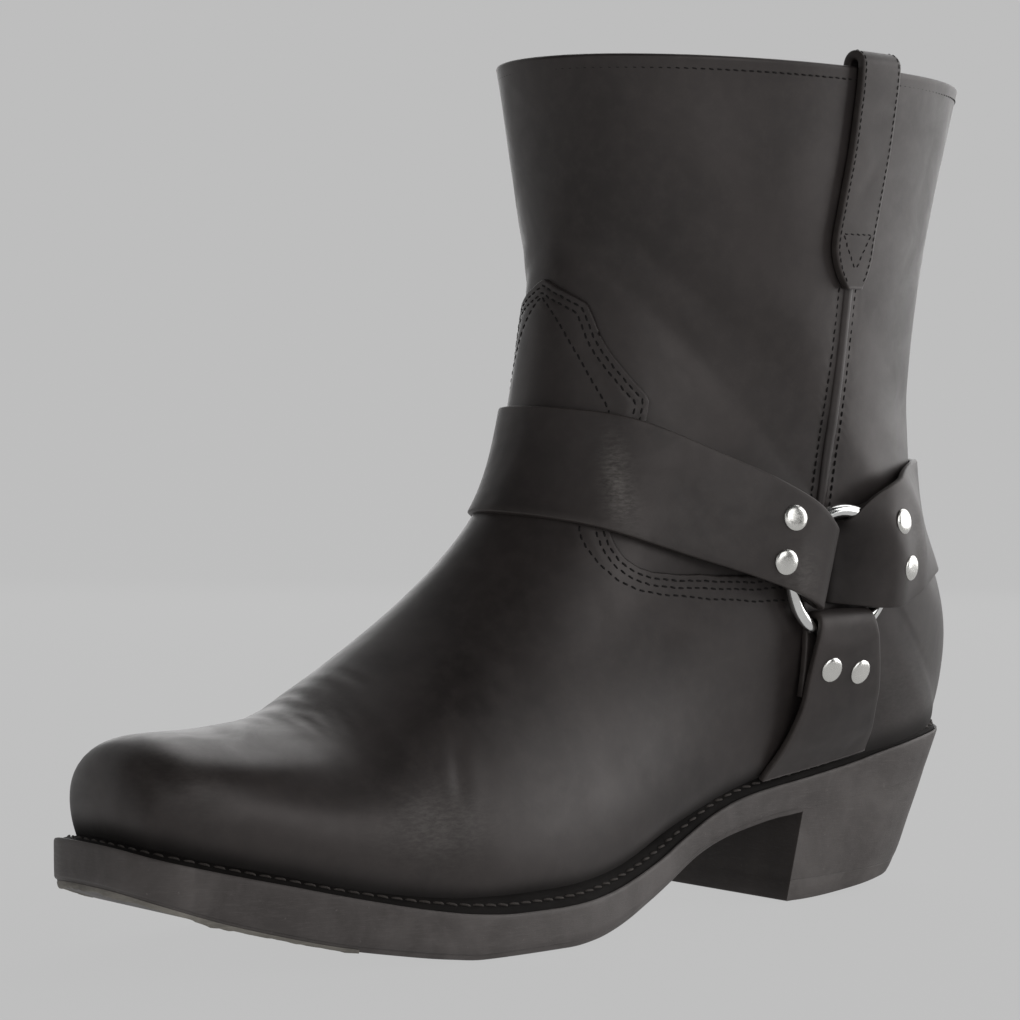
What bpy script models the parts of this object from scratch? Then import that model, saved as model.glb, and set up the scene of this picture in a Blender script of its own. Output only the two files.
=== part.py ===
"""Harness boot for the left foot, empty and standing on its sole.

Millimetres are used throughout and written out as metres.  u runs from the
back of the heel to the toe, x to the wearer's left (the outer side), z up.
The upper is swept through a fan of flat sections: those of the foot stand on
the featherline and lean forward to the ridge of the vamp, those of the shaft
close round the leg.  Every strap follows the skin that these sections make.
"""
import math
from collections import namedtuple

import bmesh
import bpy
import numpy as np
from mathutils import Vector

for _old in list(bpy.data.objects):
    bpy.data.objects.remove(_old, do_unlink=True)

# ------------------------------------------------------------------ sizes, mm
GAP = 0.3              # play left between neighbouring pieces
WALL = 2.4             # upper leather with its lining
WELT_T = 3.0           # welt thickness
HEEL_U = -4.0          # back of the featherline
TOE_U = 286.5          # featherline turns across the toe here
TOE_END = 296.0        # front of the featherline

# u runs from the back of the heel (0) to the toe, x to the wearer's left, z up.
Feather = namedtuple("Feather", "u out inn")
FEATHER = [Feather(*r) for r in [
    (HEEL_U, 0.0, 0.0), (-2.0, 11.0, 11.0), (2.0, 19.0, 19.0), (12.0, 27.2, 27.2),
    (32.0, 32.0, 31.5), (60.0, 32.5, 30.5), (90.0, 32.5, 27.5), (120.0, 35.0, 27.5),
    (150.0, 41.5, 33.0), (180.0, 48.0, 41.0), (205.0, 48.8, 46.2), (225.0, 46.0, 46.4),
    (250.0, 38.5, 41.5), (270.0, 30.5, 35.0), (TOE_U, 20.0, 25.5)]]

Bed = namedtuple("Bed", "u sole_under sole_t")
BED = [Bed(*r) for r in [
    (-12.0, 36.6, 8.2), (0.0, 34.6, 8.2), (20.0, 32.4, 8.2), (45.0, 30.2, 8.2),
    (70.0, 27.0, 8.0), (100.0, 20.2, 7.8),
    (130.0, 10.8, 8.0), (158.0, 2.6, 8.5), (180.0, 0.0, 8.8), (212.0, 0.0, 8.8),
    (240.0, 3.0, 8.8), (265.0, 8.6, 8.8), (285.0, 15.0, 8.8), (312.0, 26.0, 8.8)]]

Section = namedtuple("Section", "foot_u top_u top_z w_out w_in belly p q ridge_x")
FOOT = [Section(*r) for r in [
    (TOE_U, TOE_END, 31.6, 20.0, 25.5, 0.00, 2.6, 2.6, -3.0),
    (284.0, 297.3, 42.5, 22.0, 27.6, 0.12, 2.6, 2.4, -3.0),
    (279.0, 296.8, 51.8, 25.0, 30.8, 0.20, 2.6, 2.3, -3.0),
    (272.0, 292.4, 59.0, 28.8, 34.0, 0.25, 2.6, 2.2, -3.0),
    (263.0, 281.2, 62.4, 33.5, 38.7, 0.26, 2.5, 2.1, -3.0),
    (250.0, 265.4, 63.0, 39.7, 43.4, 0.26, 2.4, 2.0, -3.5),
    (232.0, 245.8, 65.8, 45.5, 47.6, 0.25, 2.2, 1.9, -4.0),
    (212.0, 225.0, 71.8, 49.7, 49.2, 0.23, 2.0, 1.80, -5.0),
    (192.0, 203.8, 83.3, 50.2, 47.6, 0.21, 1.9, 1.75, -5.0),
    (170.0, 183.2, 99.6, 48.1, 44.0, 0.20, 1.85, 1.75, -5.0),
    (148.0, 165.8, 117.4, 45.0, 40.3, 0.21, 1.9, 1.8, -4.0),
    (124.0, 154.6, 136.0, 42.4, 38.2, 0.26, 2.0, 1.85, -3.0),
    (98.0, 149.8, 154.2, 41.8, 38.7, 0.33, 2.0, 1.9, -2.0),
    (70.0, 148.3, 168.5, 42.9, 40.3, 0.38, 2.0, 1.9, -1.0),
    (42.0, 147.2, 179.0, 44.0, 42.4, 0.41, 2.0, 1.95, -0.5),
    (17.0, 146.2, 187.5, 45.0, 44.0, 0.43, 2.05, 2.0, 0.0),
    (2.0, 145.7, 193.5, 45.5, 45.0, 0.45, 2.05, 2.0, 0.0),
    (HEEL_U, 145.4, 198.0, 46.0, 45.5, 0.46, 2.05, 2.0, 0.0)]]

Ring = namedtuple("Ring", "back_u back_z top_u top_z w_out w_in belly p q ridge_x")
SHAFT = [Ring(*r) for r in [
    (-7.5, 62.0, 145.2, 202.5, 46.5, 46.0, 0.47, 2.1, 2.1, 0.0),
    (-6.2, 78.0, 145.2, 208.0, 47.2, 47.0, 0.48, 2.1, 2.1, 0.0),
    (3.0, 98.0, 145.4, 213.5, 47.8, 47.8, 0.49, 2.1, 2.1, 0.0),
    (8.3, 121.0, 145.9, 220.0, 48.8, 48.8, 0.50, 2.1, 2.1, 0.0),
    (10.0, 147.0, 146.8, 227.5, 50.0, 50.0, 0.50, 2.1, 2.1, 0.0),
    (7.0, 178.0, 148.2, 236.5, 52.0, 52.0, 0.50, 2.1, 2.1, 0.0),
    (0.0, 213.0, 149.9, 245.5, 54.0, 54.0, 0.50, 2.1, 2.1, 0.0),
    (-10.5, 251.0, 152.0, 255.0, 56.5, 56.5, 0.50, 2.1, 2.1, 0.0)]]
S_HEEL = len(FOOT) - 1          # last section that stands on the featherline
S_TOP = len(FOOT) + len(SHAFT) - 1


def pchip(xs, ys):
    """Cubic through the points of a table that never overshoots them."""
    x, y = np.asarray(xs, float), np.asarray(ys, float)
    h = np.diff(x); d = np.diff(y) / h
    m = np.zeros_like(y)
    for i in range(1, len(x) - 1):
        if d[i - 1] * d[i] > 0:
            w1, w2 = 2 * h[i] + h[i - 1], h[i] + 2 * h[i - 1]
            m[i] = (w1 + w2) / (w1 / d[i - 1] + w2 / d[i])
    m[0], m[-1] = d[0], d[-1]

    def f(v):
        v = np.clip(np.asarray(v, float), x[0], x[-1])
        k = np.clip(np.searchsorted(x, v, "right") - 1, 0, len(h) - 1)
        t = (v - x[k]) / h[k]
        return ((1 + 2 * t) * (1 - t) ** 2 * y[k] + t * (1 - t) ** 2 * h[k] * m[k]
                + t * t * (3 - 2 * t) * y[k + 1] + t * t * (t - 1) * h[k] * m[k + 1])
    return f


def natural(ys):
    """Natural cubic spline through rows 0, 1, 2 … of a table column."""
    y = np.asarray(ys, float); n = len(y)
    a = np.eye(n) * 4.0; b = np.zeros(n)
    a[0] = 0; a[0, 0] = 1; a[-1] = 0; a[-1, -1] = 1
    for i in range(1, n - 1):
        a[i, i - 1] = a[i, i + 1] = 1.0
        b[i] = 6.0 * (y[i - 1] - 2 * y[i] + y[i + 1])
    m = np.linalg.solve(a, b)

    def f(s):
        s = np.clip(np.asarray(s, float), 0, n - 1)
        k = np.clip(s.astype(int), 0, n - 2); t = s - k
        return ((1 - t) * y[k] + t * y[k + 1] + ((1 - t) ** 3 - (1 - t)) * m[k] / 6
                + (t ** 3 - t) * m[k + 1] / 6)
    return f


_half = {1: pchip([r.u for r in FEATHER], [r.out ** 2 for r in FEATHER]),
         -1: pchip([r.u for r in FEATHER], [r.inn ** 2 for r in FEATHER])}


def feather(u, side):
    """Half-width of the featherline at u on one side (+1 outer, -1 inner)."""
    u = np.asarray(u, float)
    w = np.sqrt(np.maximum(_half[side](u), 0.0))
    h = np.clip((u - TOE_U) / (TOE_END - TOE_U), 0, 1)
    f = FOOT[0]
    w_toe = (f.w_out if side > 0 else f.w_in) * np.maximum(1 - h ** f.p, 0) ** (1 / f.q)
    return np.where(u > TOE_U, w_toe + side * f.ridge_x * h * h, w)


_under = pchip([r.u for r in BED], [r.sole_under for r in BED])
_thick = pchip([r.u for r in BED], [r.sole_t for r in BED])


def sole_under(u):
    return _under(u)


def sole_top(u):
    return _under(u) + _thick(u)


def seat(u):
    """Height of the featherline: the top of the welt."""
    return sole_top(u) + GAP + WELT_T


_rows = FOOT + SHAFT
_col = {n: natural([getattr(r, n) for r in _rows])
        for n in ("top_u", "top_z", "w_out", "w_in", "belly", "p", "q", "ridge_x")}
_foot_u = pchip(range(len(FOOT)), [r.foot_u for r in FOOT])
_back_u = natural([FOOT[-1].foot_u] + [r.back_u for r in SHAFT])
_back_z = natural([float(seat(FOOT[-1].foot_u))] + [r.back_z for r in SHAFT])


def section(s, side):
    """Everything about the section at station s on one side."""
    s = np.asarray(s, float)
    low = s <= S_HEEL
    bu = np.where(low, _foot_u(s), _back_u(s - S_HEEL))
    bz = np.where(low, seat(_foot_u(s)), _back_z(s - S_HEEL))
    w0 = np.where(low, feather(np.minimum(_foot_u(s), TOE_U), side), 0.0)
    w1 = _col["w_out"](s) if side > 0 else _col["w_in"](s)
    return bu, bz, w0, _col["top_u"](s), _col["top_z"](s), w1


def width(s, h, side):
    """Half-width of section s at the share h of its height."""
    _, _, w0, _, _, w1 = section(s, side)
    hm = np.maximum(_col["belly"](s), 1e-6)
    k = 1 - (w0 / w1) ** 2
    lowpart = w1 * np.sqrt(np.maximum(1 - k * (np.clip(hm - h, 0, None) / hm) ** 2, 0))
    r = np.clip((h - hm) / (1 - hm), 0, 1)
    high = w1 * np.maximum(1 - r ** _col["p"](s), 0) ** (1 / _col["q"](s))
    return np.where(h < hm, lowpart, high)


def skin_sh(s, h, side):
    """Point on the outside of the upper at station s, height share h."""
    bu, bz, _, tu, tz, _ = section(s, side)
    x = _col["ridge_x"](s) * h * h + side * width(s, h, side)
    return np.stack([x, bu + h * (tu - bu), bz + h * (tz - bz)], -1)


def skin(s, f):
    """Same, by f from -1 (inner foot) over 0 (ridge) to +1 (outer foot)."""
    s, f = np.broadcast_arrays(np.asarray(s, float), np.asarray(f, float))
    h = 0.5 - 0.5 * np.cos(np.pi * (1 - np.abs(f)))
    return np.where((f >= 0)[..., None], skin_sh(s, h, 1), skin_sh(s, h, -1))


def locate(u, z):
    """Station and height share of the section through side-view point (u, z)."""
    u, z = np.broadcast_arrays(np.asarray(u, float), np.asarray(z, float))
    lo = np.zeros(u.shape); hi = np.full(u.shape, float(S_TOP))
    for _ in range(40):
        mid = 0.5 * (lo + hi)
        bu, bz, _, tu, tz, _ = section(mid, 1)
        ahead = (tu - bu) * (z - bz) - (tz - bz) * (u - bu) > 0
        lo = np.where(ahead, mid, lo); hi = np.where(ahead, hi, mid)
    s = 0.5 * (lo + hi)
    bu, bz, _, tu, tz, _ = section(s, 1)
    du, dz = tu - bu, tz - bz
    h = ((u - bu) * du + (z - bz) * dz) / (du * du + dz * dz)
    return s, h


def side_x(u, z, side):
    s, h = locate(u, z)
    h = np.clip(h, 0, 1)
    return _col["ridge_x"](s) * h * h + side * width(s, h, side)


_edge = pchip([-10, 40, 90, 130, 190, 270, 310], [3.6, 3.6, 4.0, 4.6, 6.2, 7.2, 10.2])


def outline(n):
    """n even points round the featherline in plan, their outward normals and
    the distance from there to the edge of the sole."""
    uu = HEEL_U + (TOE_END - HEEL_U) * 0.5 * (1 - np.cos(np.pi * np.linspace(0, 1, 400)))
    left = np.stack([feather(uu, 1), uu], 1)
    right = np.stack([-feather(uu, -1), uu], 1)[::-1][1:-1]

    def even(p, m, ends=1.0):
        q = np.vstack([p, p[:1]])
        c = 0.5 * (q[1:, 1] + q[:-1, 1])
        weight = np.where((c > 262) | (c < 14), ends, 1.0)
        d = np.r_[0, np.cumsum(weight * np.hypot(*np.diff(q, axis=0).T))]
        v = np.linspace(0, d[-1], m, endpoint=False)
        return np.stack([np.interp(v, d, q[:, k]) for k in (0, 1)], 1)
    p = even(np.vstack([left, right]), 720)
    for _ in range(6):
        p = 0.25 * np.roll(p, 1, 0) + 0.5 * p + 0.25 * np.roll(p, -1, 0)
    p = even(p, n, 2.4)
    t = np.roll(p, -1, 0) - np.roll(p, 1, 0)
    nor = np.stack([t[:, 1], -t[:, 0]], 1)
    nor /= np.linalg.norm(nor, axis=1, keepdims=True)
    return p, nor, _edge(p[:, 1])[:, None]


# ------------------------------------------------------------------ mesh tools
X_MID, U_MID = 0.0, 147.24          # middle of the footprint, put at the origin


LEATHER, STRAP, RUBBER, BOARD, STEEL = "leather", "strap_leather", "rubber", "insole_board", "nickel"
LOOKS = {LEATHER: ((0.030, 0.024, 0.022), 0.45, 0.0), STRAP: ((0.032, 0.026, 0.024), 0.5, 0.0),
         RUBBER: ((0.034, 0.030, 0.028), 0.6, 0.0), BOARD: ((0.32, 0.22, 0.14), 0.8, 0.0),
         STEEL: ((0.78, 0.77, 0.74), 0.2, 1.0)}
boot = bpy.data.objects.new("boot", None)          # stands on the floor under the middle
bpy.context.scene.collection.objects.link(boot)


def material(name, look):
    """A material of the piece's own: colour, roughness and metallic value."""
    colour, rough, metal = LOOKS[look]
    m = bpy.data.materials.new(name)
    m.use_nodes = True
    node = m.node_tree.nodes["Principled BSDF"]
    node.inputs["Base Color"].default_value = (*colour, 1.0)
    node.inputs["Roughness"].default_value = rough
    node.inputs["Metallic"].default_value = metal
    return m


def place(name, mesh, look, at=(0.0, 0.0, 0.0), turn=None):
    """Name the piece, give it its material and hang it on the boot's empty."""
    ob = bpy.data.objects.new(name, mesh)
    mesh.materials.append(material(name, look))
    ob.location = at
    if turn is not None:
        ob.rotation_mode = "QUATERNION"
        ob.rotation_quaternion = turn
    ob.parent = boot
    bpy.context.scene.collection.objects.link(ob)
    return ob


def put(name, verts, faces, look):
    """A closed body from x, u, z points in millimetres."""
    v = np.asarray(verts, float)
    w = np.stack([v[:, 0] - X_MID, U_MID - v[:, 1], v[:, 2]], 1) * 0.001
    me = bpy.data.meshes.new(name)
    me.from_pydata([tuple(r) for r in w], [], [tuple(int(i) for i in f) for f in faces])
    bm = bmesh.new()
    bm.from_mesh(me)
    bmesh.ops.remove_doubles(bm, verts=bm.verts, dist=1e-7)
    bmesh.ops.recalc_face_normals(bm, faces=bm.faces)
    bm.to_mesh(me)
    bm.free()
    return place(name, me, look)


def turned(profile, steps, middle=0.0):
    """Mesh spun about Z from a profile of (radius, height) in millimetres; a
    profile that leaves the axis is closed on itself (a ring)."""
    bm = bmesh.new()
    vs = [bm.verts.new((r * 0.001, 0.0, h * 0.001)) for r, h in profile]
    es = [bm.edges.new(p) for p in zip(vs, vs[1:])]
    if middle:
        es.append(bm.edges.new((vs[-1], vs[0])))
    bmesh.ops.spin(bm, geom=vs + es, cent=(0, 0, 0), axis=(0, 0, 1), angle=2 * math.pi,
                   steps=steps, use_merge=True)
    bmesh.ops.remove_doubles(bm, verts=bm.verts, dist=1e-7)
    bmesh.ops.recalc_face_normals(bm, faces=bm.faces)
    me = bpy.data.meshes.new("turned")
    bm.to_mesh(me)
    bm.free()
    me.shade_smooth()
    me.set_sharp_from_angle(angle=math.radians(40))
    return me


def world(p):
    return Vector(((p[0] - X_MID) * 0.001, (U_MID - p[1]) * 0.001, p[2] * 0.001))


def grid_normals(g):
    """Unit normals of a grid of points, by differences along both ways."""
    n = np.cross(np.gradient(g, axis=1), np.gradient(g, axis=0))
    return n / np.maximum(np.linalg.norm(n, axis=-1, keepdims=True), 1e-9)


def slab(name, a, b, look, close=False):
    """Body between two matching grids a and b (rows x columns); close joins
    the last row to the first."""
    r, c = a.shape[:2]
    v = np.vstack([a.reshape(-1, 3), b.reshape(-1, 3)])
    k = r * c
    f = []
    rr = r if close else r - 1
    for i in range(rr):
        j2 = (i + 1) % r
        for j in range(c - 1):
            q = (i * c + j, i * c + j + 1, j2 * c + j + 1, j2 * c + j)
            f.append(q)
            f.append(tuple(k + t for t in reversed(q)))
        f.append((i * c, j2 * c, k + j2 * c, k + i * c))
        f.append((i * c + c - 1, k + i * c + c - 1, k + j2 * c + c - 1, j2 * c + c - 1))
    if not close:
        for j in range(c - 1):
            f.append((j, k + j, k + j + 1, j + 1))
            e = (r - 1) * c
            f.append((e + j, e + j + 1, k + e + j + 1, k + e + j))
    return put(name, v, f, look)


# ----------------------------------------------------------------------- upper
def build_upper():
    s_foot = np.unique(np.r_[0, 0.5, 1, 1.5, 2, 2.6, 3.3, 4, 5, 6, 7, 8, 9, 10, 11, 12, 12.5, 13,
                             14, 15, 16, S_HEEL])
    s_leg = np.r_[S_HEEL + 1:S_TOP + 1].astype(float)
    f = np.linspace(-1, 1, 27)
    rows = np.r_[s_foot, s_leg]
    nf, nc = len(s_foot), len(f)
    grid = skin(rows[:, None], f[None, :])
    vid, pts = {}, []
    for i in range(len(rows)):
        for j in range(nc):
            if i >= nf - 1 and j == nc - 1:
                vid[i, j] = vid[i, 0]          # centre back seam
                continue
            vid[i, j] = len(pts)
            pts.append(grid[i, j])
    faces = []
    for i in range(len(rows) - 1):
        for j in range(nc - 1):
            q = [vid[i, j], vid[i, j + 1], vid[i + 1, j + 1], vid[i + 1, j]]
            q = [t for n, t in enumerate(q) if t not in q[:n]]
            if len(q) > 2:
                faces.append(q)
    # featherline, once round, and the lasting margin that drops inside the welt
    rim = [vid[i, 0] for i in range(nf - 1, -1, -1)]
    rim += [vid[0, j] for j in range(1, nc)]
    rim += [vid[i, nc - 1] for i in range(1, nf - 1)]
    base = len(pts)
    for t in rim:
        x, u, _ = pts[t]
        pts.append(np.array([x, u, float(sole_top(u)) + 2 * GAP]))
    m = len(rim)
    for k in range(m):
        faces.append([rim[k], base + k, base + (k + 1) % m, rim[(k + 1) % m]])
    pts = np.array(pts)
    normal = np.zeros_like(pts)
    for q in faces:
        n = np.zeros(3)
        for k in range(1, len(q) - 1):
            n += np.cross(pts[q[k]] - pts[q[0]], pts[q[k + 1]] - pts[q[0]])
        for t in q:
            normal[t] += n
    mid = np.array([0.0, 90.0, 120.0])
    if np.sum(normal[vid[len(rows) - 1, 13]] * (pts[vid[len(rows) - 1, 13]] - mid)) < 0:
        normal = -normal
    normal /= np.linalg.norm(normal, axis=1, keepdims=True)
    inner = pts - normal * WALL
    # the margin stays upright and both rims stay level
    for k, t in enumerate(rim):
        n = normal[base + k] * np.array([1, 1, 0])
        n /= np.linalg.norm(n)
        inner[base + k] = pts[base + k] - n * WALL
    top = [vid[len(rows) - 1, j] for j in range(nc - 1)]
    for t in top:
        n = normal[t] * np.array([1, 1, 0])
        inner[t] = pts[t] - n / np.linalg.norm(n) * WALL
    k = len(pts)
    out = list(faces) + [[k + t for t in reversed(q)] for q in faces]
    for a, b in zip(top, top[1:] + top[:1]):
        out.append([a, b, k + b, k + a])
    for n in range(m):
        a, b = base + n, base + (n + 1) % m
        out.append([a, k + a, k + b, b])
    return put("upper", np.vstack([pts, inner]), out, LEATHER)


# ------------------------------------------------------------- sole, welt, heel
def strip_plate(name, loop, u_lo, u_hi, n, z_top, z_low, look):
    """Plate with the plan `loop` between u_lo and u_hi; its faces rise with u."""
    k0, k1 = int(np.argmin(loop[:, 1])), int(np.argmax(loop[:, 1]))
    a = np.roll(loop, -k0, 0)
    m = (k1 - k0) % len(loop)
    one, two = a[:m + 1], np.vstack([a[m:], a[:1]])[::-1]
    if one[len(one) // 2, 0] < two[len(two) // 2, 0]:
        one, two = two, one
    u = u_lo + (u_hi - u_lo) * 0.5 * (1 - np.cos(np.pi * np.linspace(0, 1, n)))
    left, right = np.interp(u, one[:, 1], one[:, 0]), np.interp(u, two[:, 1], two[:, 0])
    pts, faces = [], []
    for i in range(n):
        for x in (left[i], right[i]):
            pts.append((x, u[i], float(z_top(u[i]))))
            pts.append((x, u[i], float(z_low(u[i]))))
    for i in range(n - 1):
        p, q = 4 * i, 4 * i + 4
        faces += [(p, q, q + 2, p + 2), (p + 1, p + 3, q + 3, q + 1),
                  (p, p + 1, q + 1, q), (p + 2, q + 2, q + 3, p + 3)]
    e = 4 * (n - 1)
    faces += [(0, 2, 3, 1), (e, e + 1, e + 3, e + 2)]
    return put(name, pts, faces, look)


LIFT_T = 6.6                       # top lift
BREAST_U = 71.5                    # heel breast where it meets the sole
BASE_BACK, BASE_BREAST = 12.0, 75.0
BASE_NARROW = 0.86


def heel_loop(loop, share):
    """Plan of the heel, from share 0 at the sole to share 1 on the floor."""
    u0 = loop[:, 1].min()
    back = u0 + (BASE_BACK - u0) * share
    breast = BREAST_U + (BASE_BREAST - BREAST_U) * share
    k0 = int(np.argmin(loop[:, 1]))
    a = np.roll(loop, -k0, 0)
    keep = a[a[:, 1] < BREAST_U - 1.5]
    k = int(np.argmax(np.abs(np.diff(keep[:, 0]))))
    run_a, run_b = keep[:k + 1], keep[k + 1:]

    def at(run):
        return np.interp(BREAST_U, *(a[np.sign(a[:, 0]) == np.sign(run[-1, 0])][:, ::-1].T[:, np.argsort(
            a[np.sign(a[:, 0]) == np.sign(run[-1, 0])][:, 1])]))
    corner_a = np.array([[at(run_a[5:]), BREAST_U]])
    corner_b = np.array([[at(run_b[:-5][::-1]), BREAST_U]])
    p = np.vstack([run_a, corner_a, corner_b, run_b])
    x = p[:, 0] * (1 - (1 - BASE_NARROW) * share)
    u = back + (p[:, 1] - u0) * (breast - back) / (BREAST_U - u0)
    return np.stack([x, u], 1)


def build_bottom():
    p, nor, e = outline(112)
    edge = p + nor * e
    lo, hi = edge[:, 1].min() + 0.02, edge[:, 1].max() - 0.02
    strip_plate("outsole", edge, lo, hi, 56, sole_top, sole_under, RUBBER)
    inner = p + nor * 0.65
    rise = 1.6                       # the welt slopes up to the upper
    zi, zo = seat(inner[:, 1]), seat(edge[:, 1]) - rise
    low_i, low_o = sole_top(inner[:, 1]) + GAP, sole_top(edge[:, 1]) + GAP
    a = np.stack([np.c_[inner, zi], np.c_[edge, zo]], 1)
    b = np.stack([np.c_[inner, low_i], np.c_[edge, low_o]], 1)
    slab("welt", a, b, RUBBER, close=True)
    board = p - nor * (WALL + 1.7)
    lo, hi = board[:, 1].min() + 0.02, board[:, 1].max() - 0.02
    strip_plate("insole", board, lo, hi, 44, lambda u: seat(u) - 0.4,
                lambda u: sole_top(u) + GAP, BOARD)
    # heel: block up to the sole, lift down to the floor
    top = heel_loop(edge, 0.0)
    z_top = sole_under(top[:, 1]) - GAP
    full = float(z_top.max())
    cut = LIFT_T + GAP
    low = heel_loop(edge, 1 - cut / full)
    block = np.stack([np.c_[top, z_top], np.c_[low, np.full(len(low), cut)]], 0)
    cap_body("heel_block", block)
    a = heel_loop(edge, 1 - LIFT_T / full)
    b = heel_loop(edge, 1.0)
    cap_body("heel_lift", np.stack([np.c_[a, np.full(len(a), LIFT_T)],
                                    np.c_[b, np.zeros(len(b))]], 0))


def cap_body(name, rings):
    """Body through matching rings of points, capped across the width."""
    r, n = rings.shape[:2]
    v = rings.reshape(-1, 3)
    f = []
    for i in range(r - 1):
        for j in range(n):
            k = (j + 1) % n
            f.append((i * n + j, i * n + k, (i + 1) * n + k, (i + 1) * n + j))
    for i in (0, r - 1):
        for j in range((n - 1) // 2):
            q = [i * n + j, i * n + j + 1, i * n + n - 2 - j, i * n + n - 1 - j]
            q = [t for m, t in enumerate(q) if t not in q[:m]]
            if len(q) > 2:
                f.append(q)
    return put(name, v, f, RUBBER)


# --------------------------------------------------------------- harness straps
RING_U, RING_Z = 72.5, 102.0       # middle of each ring in side view
RING_R, WIRE_R = 19.0, 2.0
STRAP_T = 2.0
RING_STANDOFF = 5.5                # ring plane over the skin
CLEAR = 0.5                        # play of the wire in a fold
FOLD_R = WIRE_R + CLEAR + STRAP_T / 2
DIVE_R, DIVE = 1.6, 5.8            # the heel strap sinks into the ring: fold, mid-line over the skin

# edges of each strap in side view, from the fold round the ring outwards
Band = namedtuple("Band", "a_u a_z b_u b_z")
INSTEP = [Band(*r) for r in [
    (84.0, 92.8, 78.5, 117.2), (96.0, 98.4, 89.0, 126.5), (121.0, 107.0, 113.0, 138.5),
    (139.0, 113.4, 129.5, 146.0), (152.0, 118.0, 142.0, 150.5), (168.0, 121.5, 157.0, 153.0)]]
HEEL = [Band(*r) for r in [
    (72.0, 92.6, 70.5, 118.0), (60.0, 91.2, 61.5, 126.5), (48.5, 91.8, 51.0, 131.2), (38.0, 95.4, 41.0, 134.6),
    (27.0, 98.6, 30.5, 136.6), (12.0, 100.8, 20.0, 137.4), (-14.0, 101.0, -8.0, 137.4)]]
DOWN = [Band(*r) for r in [
    (82.8, 86.3, 60.5, 87.0), (84.5, 72.6, 55.0, 71.5), (85.0, 63.4, 52.6, 61.6),
    (86.6, 54.0, 49.8, 52.5), (89.8, 45.0, 48.2, 46.5), (93.0, 35.7, 47.5, 43.2)]]
TAIL_R = {"instep": 36.0, "heel": 34.0, "down": 39.0}
RIVETS = {"instep": [(93.7, 119.3), (97.2, 106.3)], "heel": [(51.2, 117.2), (47.6, 103.0)],
          "down": [(76.8, 73.1), (64.5, 71.7)]}


def ring_plane(side):
    """x of the ring plane over side-view points, and its outward normal."""
    d = 16.0
    x0 = float(side_x(RING_U, RING_Z, side))
    a = float(side_x(RING_U + d, RING_Z, side) - side_x(RING_U - d, RING_Z, side)) / (2 * d)
    b = float(side_x(RING_U, RING_Z + d, side) - side_x(RING_U, RING_Z - d, side)) / (2 * d)
    x0 += side * RING_STANDOFF
    n = np.array([1.0, -a, -b]) * side
    return (lambda u, z: x0 + a * (u - RING_U) + b * (z - RING_Z)), n / np.linalg.norm(n)


def taut(q):
    """Taut line over a run of 2-D points, seen from above."""
    hull = []
    for p in q[np.argsort(q[:, 0], kind="stable")]:
        while len(hull) > 1 and ((hull[-1][0] - hull[-2][0]) * (p[1] - hull[-2][1])
                                 >= (hull[-1][1] - hull[-2][1]) * (p[0] - hull[-2][0])):
            hull.pop()
        hull.append(p)
    return np.array(hull)


def even_line(q, n, rounds=0):
    """n points evenly along a 2-D line, its kinks eased by `rounds` of averaging."""
    d = np.r_[0, np.cumsum(np.hypot(*np.diff(q, axis=0).T))]
    v = np.linspace(0, d[-1], n)
    p = np.stack([np.interp(v, d, q[:, 0]), np.interp(v, d, q[:, 1])], 1)
    for _ in range(rounds):
        p[1:-1] = 0.25 * p[:-2] + 0.5 * p[1:-1] + 0.25 * p[2:]
    return p


def band_line(table, w, m):
    """Side-view line at w (0 edge a, 1 edge b), m points, even by length."""
    cols = [natural([getattr(r, n) for r in table]) for n in Band._fields]
    k = np.linspace(0, len(table) - 1, 40 * len(table))
    au, az, bu, bz = (c(k) for c in cols)
    u, z = au + (bu - au) * w, az + (bz - az) * w
    d = np.r_[0, np.cumsum(np.hypot(np.diff(u), np.diff(z)))]
    v = np.linspace(0, d[-1], m)
    return np.interp(v, d, u), np.interp(v, d, z)


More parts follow.
